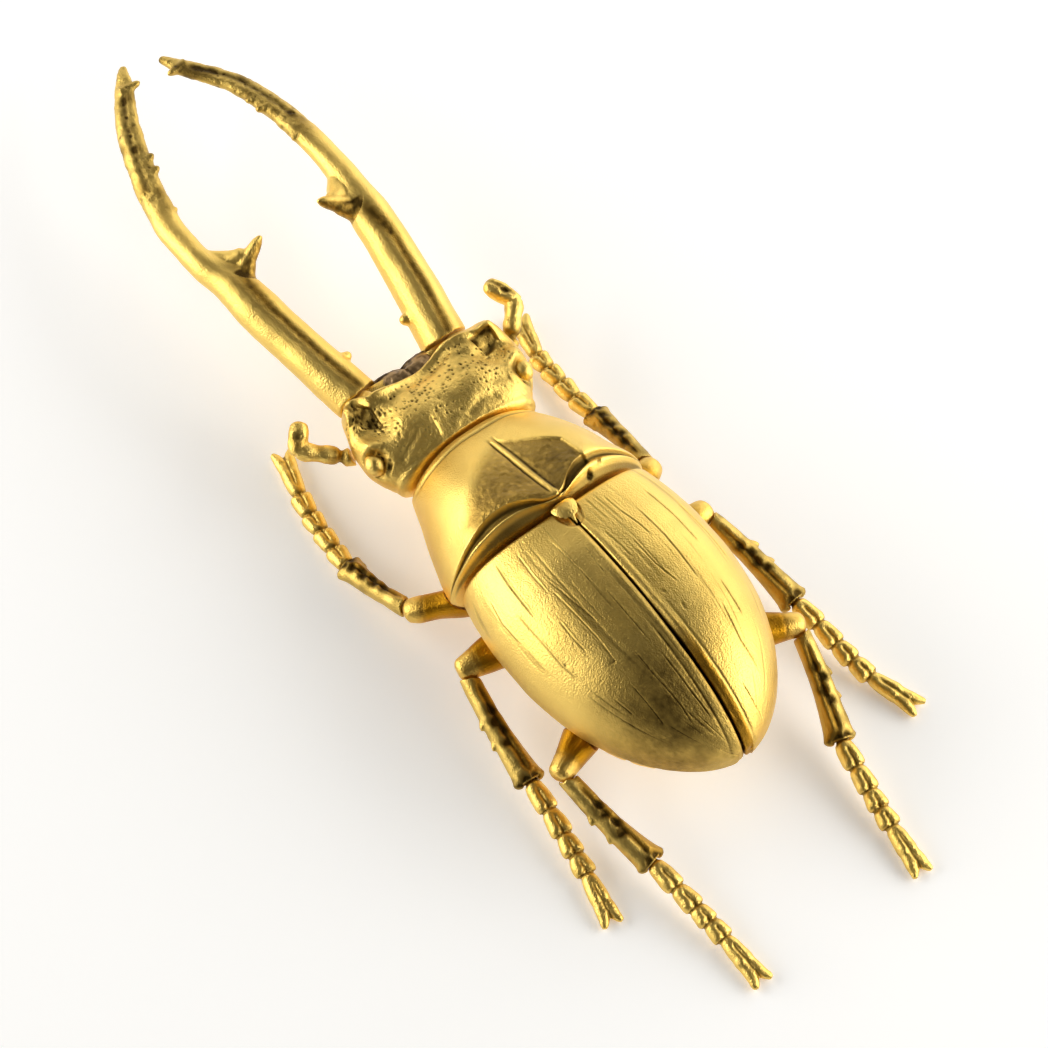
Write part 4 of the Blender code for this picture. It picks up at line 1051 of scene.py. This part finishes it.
# the hip, the knee, the ankle and the ends of the five joints of the foot
legPlaces = {
    "front_left": [(8.6, 4.9, 7.1), (16.9, -0.6, 5.0), (18.6, -11.2, 2.2), (18.3, -14.3, 1.6),
        (18.0, -17.3, 1.3), (17.7, -20.0, 1.15), (17.1, -23.1, 1.0), (16.0, -27.0, 0.9)],
    "front_right": [(-8.6, 4.9, 7.1), (-17.2, 0.9, 5.0), (-17.6, -10.4, 2.2), (-17.3, -13.9, 1.6),
        (-17.4, -16.8, 1.3), (-17.4, -19.4, 1.15), (-17.5, -21.8, 1.0), (-18.4, -25.3, 0.9)],
    "mid_left": [(8.0, 11.2, 7.7), (17.2, 10.1, 6.9), (18.7, 24.8, 3.2), (19.0, 28.7, 2.6),
        (19.4, 32.0, 2.1), (19.8, 34.7, 1.8), (20.1, 37.3, 1.3), (20.8, 41.3, 0.9)],
    "mid_right": [(-8.0, 11.2, 7.7), (-17.8, 10.2, 6.9), (-20.3, 24.6, 3.2), (-20.9, 28.3, 2.6),
        (-21.1, 31.5, 2.1), (-21.3, 34.2, 1.8), (-21.8, 36.9, 1.3), (-23.2, 41.0, 0.9)],
    "hind_left": [(6.6, 23.6, 8.2), (16.7, 27.9, 8.1), (13.8, 41.3, 3.2), (13.4, 45.2, 2.6),
        (13.0, 48.3, 2.1), (12.8, 50.6, 1.8), (12.5, 53.0, 1.3), (12.3, 57.2, 0.9)],
    "hind_right": [(-6.6, 24.4, 8.2), (-16.7, 29.2, 8.1), (-13.1, 42.1, 3.2), (-12.6, 45.6, 2.6),
        (-12.1, 48.7, 2.1), (-11.7, 51.1, 1.8), (-11.5, 53.5, 1.3), (-11.1, 57.5, 0.9)],
}
legShape = {
    "thighWidth": {"front": 0.72, "mid": 1.0, "hind": 1.0},
    "shinWidth": {"front": 0.86, "mid": 1.0, "hind": 1.0},
    "shinTeeth": {"front": (0.45, 0.62, 0.79), "mid": (0.42, 0.6), "hind": (0.4, 0.6)},
    "toothHeight": {"front": 0.75, "mid": 1.7, "hind": 1.7}, "clawLength": 2.7, "clawSpread": 1.05,
    "claw": [(0.0, 0.8, 0.8), (0.5, 0.8, 0.74), (0.85, 0.55, 0.5), (1.0, 0.3, 0.3)],
    "voxel": 0.10, "socket": 1.0, "neck": 0.66,
}


def makeThigh(kind, hand):
    shape = legShape
    hip, knee = map(Vector, legPlaces[f"{kind}_{hand}"][:2])
    wide = shape["thighWidth"][kind]
    run = (knee - hip).normalized()
    across = np.array(acrossOf(run))
    sizes = [(0.0, 2.5 * wide, 1.9), (0.35, 2.6 * wide, 2.0), (0.6, 2.2 * wide, 1.85), (0.82, 1.7, 1.6),
             (0.94, 1.5, 1.4), (0.985, 1.15, 1.1), (1.0, 0.8, 0.8)]
    forms = [limbRings([hip, (hip + knee) / 2 + Vector((0, 0, 0.3)), knee + run * 0.9], sizes, 24, 40)]
    piece = cast(f"thighFine_{kind}_{hand}", forms, shape["voxel"], 6, "breast", "belly", "neck_shield")
    seed = sum(map(ord, kind + hand))

    def relief(spots, outward):
        end = (spots - np.array(knee)) @ np.array(run)
        fold = bell(end + 1.6, 0.2) * step(outward[:, 2], -0.4, 0.2)
        cap = step(end, -2.2, -0.2)
        hollow = bell(end + 3.4, 1.6) * bell((spots - np.array(knee)) @ across, 0.8)
        hollow *= step(outward[:, 2], 0.2, 0.6)
        height = waves(spots, (2.2, seed, 0.08), (0.6, seed + 1, 0.012)) - 0.03 * fold
        height -= 0.25 * hollow
        patinaAndShade = 0.18 * fold + 0.22 * (1 - cap) * step(lumps(spots, 1.6, seed + 2), -0.2, 0.6) + 0.25 * hollow
        # painted reflection: amber over the thigh except its knee end, for the warm glow the body throws on
        # it
        return height, patinaAndShade, 1.0 - 0.75 * cap

    settle(piece, relief, f"thigh_{kind}_{hand}")


def makeShin(kind, hand):
    shape = legShape
    knee, ankle = map(Vector, legPlaces[f"{kind}_{hand}"][1:3])
    wide, tall = shape["shinWidth"][kind], shape["toothHeight"][kind]
    outward = Vector((math.copysign(1, knee.x), 0, 0))
    run = (ankle - knee).normalized()
    out = (outward - run * outward.dot(run)).normalized()
    sizes = [(0.0, 0.9, 0.9), (0.08, 1.15, 1.15), (0.3, 1.25 * wide, 1.2), (0.5, 1.35 * wide, 1.25),
             (0.7, 1.5 * wide, 1.3), (0.88, 1.7 * wide, 1.4), (0.97, 1.85 * wide, 1.45),
             (1.0, 1.6 * wide, 1.2)]
    forms = [limbRings([knee, (knee + ankle) / 2 + outward * 0.3, ankle], sizes, 22, 44)]
    hollows = []
    for place in shape["shinTeeth"][kind]:
        foot = knee.lerp(ankle, place) + out * 0.3
        tip = foot + out * tall + run
        forms.append(taper(foot - run * 0.6, tip, 1.1 * wide, 0.3, 12))
        hollows += [np.array(foot + out * 0.1 + run * 0.9), np.array(foot - out * 0.5 - run * 0.4)]
    for way in (-1, 1):
        foot = ankle - run * 1.5 + out * way * 0.7 * wide
        tip = ankle + run * 0.25 + out * way * 1.55 * wide
        forms.append(taper(foot, tip, 1.0, 0.62, 14))
        hollows.append(np.array(ankle - run * 0.35 + out * way * 0.6 * wide))
    piece = makeForms(f"shinFine_{kind}_{hand}", forms)
    fuse(piece, shape["voxel"], 0)
    cutAway(piece, makeBall("socketCutter", ankle + run * 0.2, (shape["socket"],) * 3, 3))
    clearOf(piece, shape["voxel"], 6, f"thigh_{kind}_{hand}")
    seed = sum(map(ord, kind + hand)) + 7

    def relief(spots, outward):
        above = step(outward[:, 2], 0.0, 0.4)
        local = spots - np.array(knee)
        along, aside = local @ np.array(run), local @ np.array(out) / wide
        share = along / (ankle - knee).length
        hollow = np.zeros(len(spots))
        for place in hollows:
            away = np.hypot((spots - place) @ np.array(run), (spots - place) @ np.array(out))
            hollow = np.maximum(hollow, bell(away, 0.6))
        hollow *= above
        # a smooth inner flank, a groove beside it and a lumpy outer edge
        flank = step(-aside, 0.0, 0.4)
        trough = bell(aside + 0.1, 0.3) * above * step(share, 0.12, 0.25) * (1 - step(share, 0.88, 0.96))
        rail = bell(aside + 0.75, 0.25) * above * (1 - step(share, 0.85, 0.95))
        grit = lumps(spots, 0.4, seed + 1) * 0.012
        height = lumps(spots, 1.4, seed) * 0.08 * (1 - flank) + grit
        height = height - 0.30 * hollow - 0.20 * trough + 0.08 * rail
        patinaAndShade = 0.8 * hollow + 0.5 * trough + 0.3 * step(share, 0.95, 1.0) * above
        patinaAndShade += 0.26 + 0.35 * clipped(lumps(spots, 1.2, seed + 2) * 1.5) * (1 - 0.5 * flank)
        return height, patinaAndShade, 0.55 * flank + 0.6 * trough + 0.4 * hollow

    settle(piece, relief, f"shin_{kind}_{hand}")


def footJoint(start, end, flare, first):
    # one joint of a foot: a narrow root, then two rounded lobes side by side
    run = (end - start).normalized()
    side = acrossOf(run)
    up = side.cross(run).normalized()
    neck = legShape["neck"]
    shapes = [(-0.07, neck * 0.6, neck * 0.6), (-0.03, neck, neck),
              (0.06 if first else 0.03, neck * 1.15, neck * 1.15), (0.14, flare * 0.76, 0.9),
              (0.3, flare * 0.86, 1.0), (0.55, flare * 0.94, 1.06), (0.78, flare, 1.1),
              (0.9, flare * 0.95, 1.04), (0.97, flare * 0.8, 0.9), (1.0, flare * 0.5, 0.6)]
    rings = []
    for share, wide, tall in shapes:
        ring = []
        for k in range(24):
            angle = 2 * math.pi * k / 24
            c, s = math.cos(angle), math.sin(angle)
            cleft = 1 - 0.16 * step(share, 0.15, 0.4) * math.exp(-(c / 0.3) ** 2) * (s > 0)
            lobe = 0.28 * max(0.0, (share - 0.5) * 2) * (abs(c) * 2 - 1.3)
            spot = start.lerp(end, share) + run * lobe + side * (wide * c)
            ring.append(spot + up * (tall * s * float(cleft)))
        rings.append(ring)
    return rings


def makeFoot(kind, hand):
    shape = legShape
    joints = [Vector(place) for place in legPlaces[f"{kind}_{hand}"][2:]]
    forms = []
    for i, (start, end) in enumerate(zip(joints, joints[1:])):
        forms.append(footJoint(start, end, 1.4 if i < 4 else 1.25, i == 0))
    end = joints[-1]
    run = (end - joints[-2]).normalized()
    across = acrossOf(run)
    forms.append(taper(end - run * 0.5, end + run * 1.3, 0.85, 0.7, 14))
    for way in (-1, 1):
        root = end - run * 0.8 + across * way * 0.35
        bend = end + run * shape["clawLength"] * 0.5 + across * way * shape["clawSpread"] * 0.6
        tip = end + run * shape["clawLength"] + across * way * shape["clawSpread"] * 1.1
        forms.append(limbRings([root, bend, tip], shape["claw"], 14, 14))
    piece = makeForms(f"footFine_{kind}_{hand}", forms)
    fuse(piece, shape["voxel"], 0)
    fuse(piece, shape["voxel"], 4)
    seed = sum(map(ord, kind + hand)) + 13
    line = [np.array(joint) for joint in joints]

    def relief(spots, outward):
        above = step(outward[:, 2], 0.1, 0.5)
        best, seam = np.full(len(spots), 1e9), np.zeros(len(spots))
        middle = np.zeros(len(spots))
        for a, b in zip(line, line[1:]):
            length = np.linalg.norm(b - a)
            ahead = (b - a) / length
            along = (spots - a) @ ahead
            aside = spots - a - np.clip(along, 0, length)[:, None] * ahead
            away = np.linalg.norm(aside, axis=1)
            flank = np.cross(ahead, [0, 0, 1.0])
            flank /= np.linalg.norm(flank)
            here = away < best
            best[here] = away[here]
            seam[here] = bell(along[here] - 0.12, 0.26)
            middle[here] = bell(aside[here] @ flank, 0.17) * step(along[here] / length, 0.25, 0.45)
        grit = waves(spots, (0.9, seed, 0.05), (0.35, seed + 1, 0.012))
        height = grit - 0.12 * middle * above - 0.05 * seam
        patinaAndShade = 0.6 * seam + 0.6 * middle * above + 0.25 * clipped(lumps(spots, 0.9, seed + 2))
        return height, patinaAndShade, 0.4 * seam + 0.4 * middle

    settle(piece, relief, f"foot_{kind}_{hand}")


for kind in ("front", "mid", "hind"):
    for hand in ("left", "right"):
        makeThigh(kind, hand)
        makeShin(kind, hand)
        makeFoot(kind, hand)


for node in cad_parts.values():
    node.data.materials.clear()
    node.data.materials.append(gold)
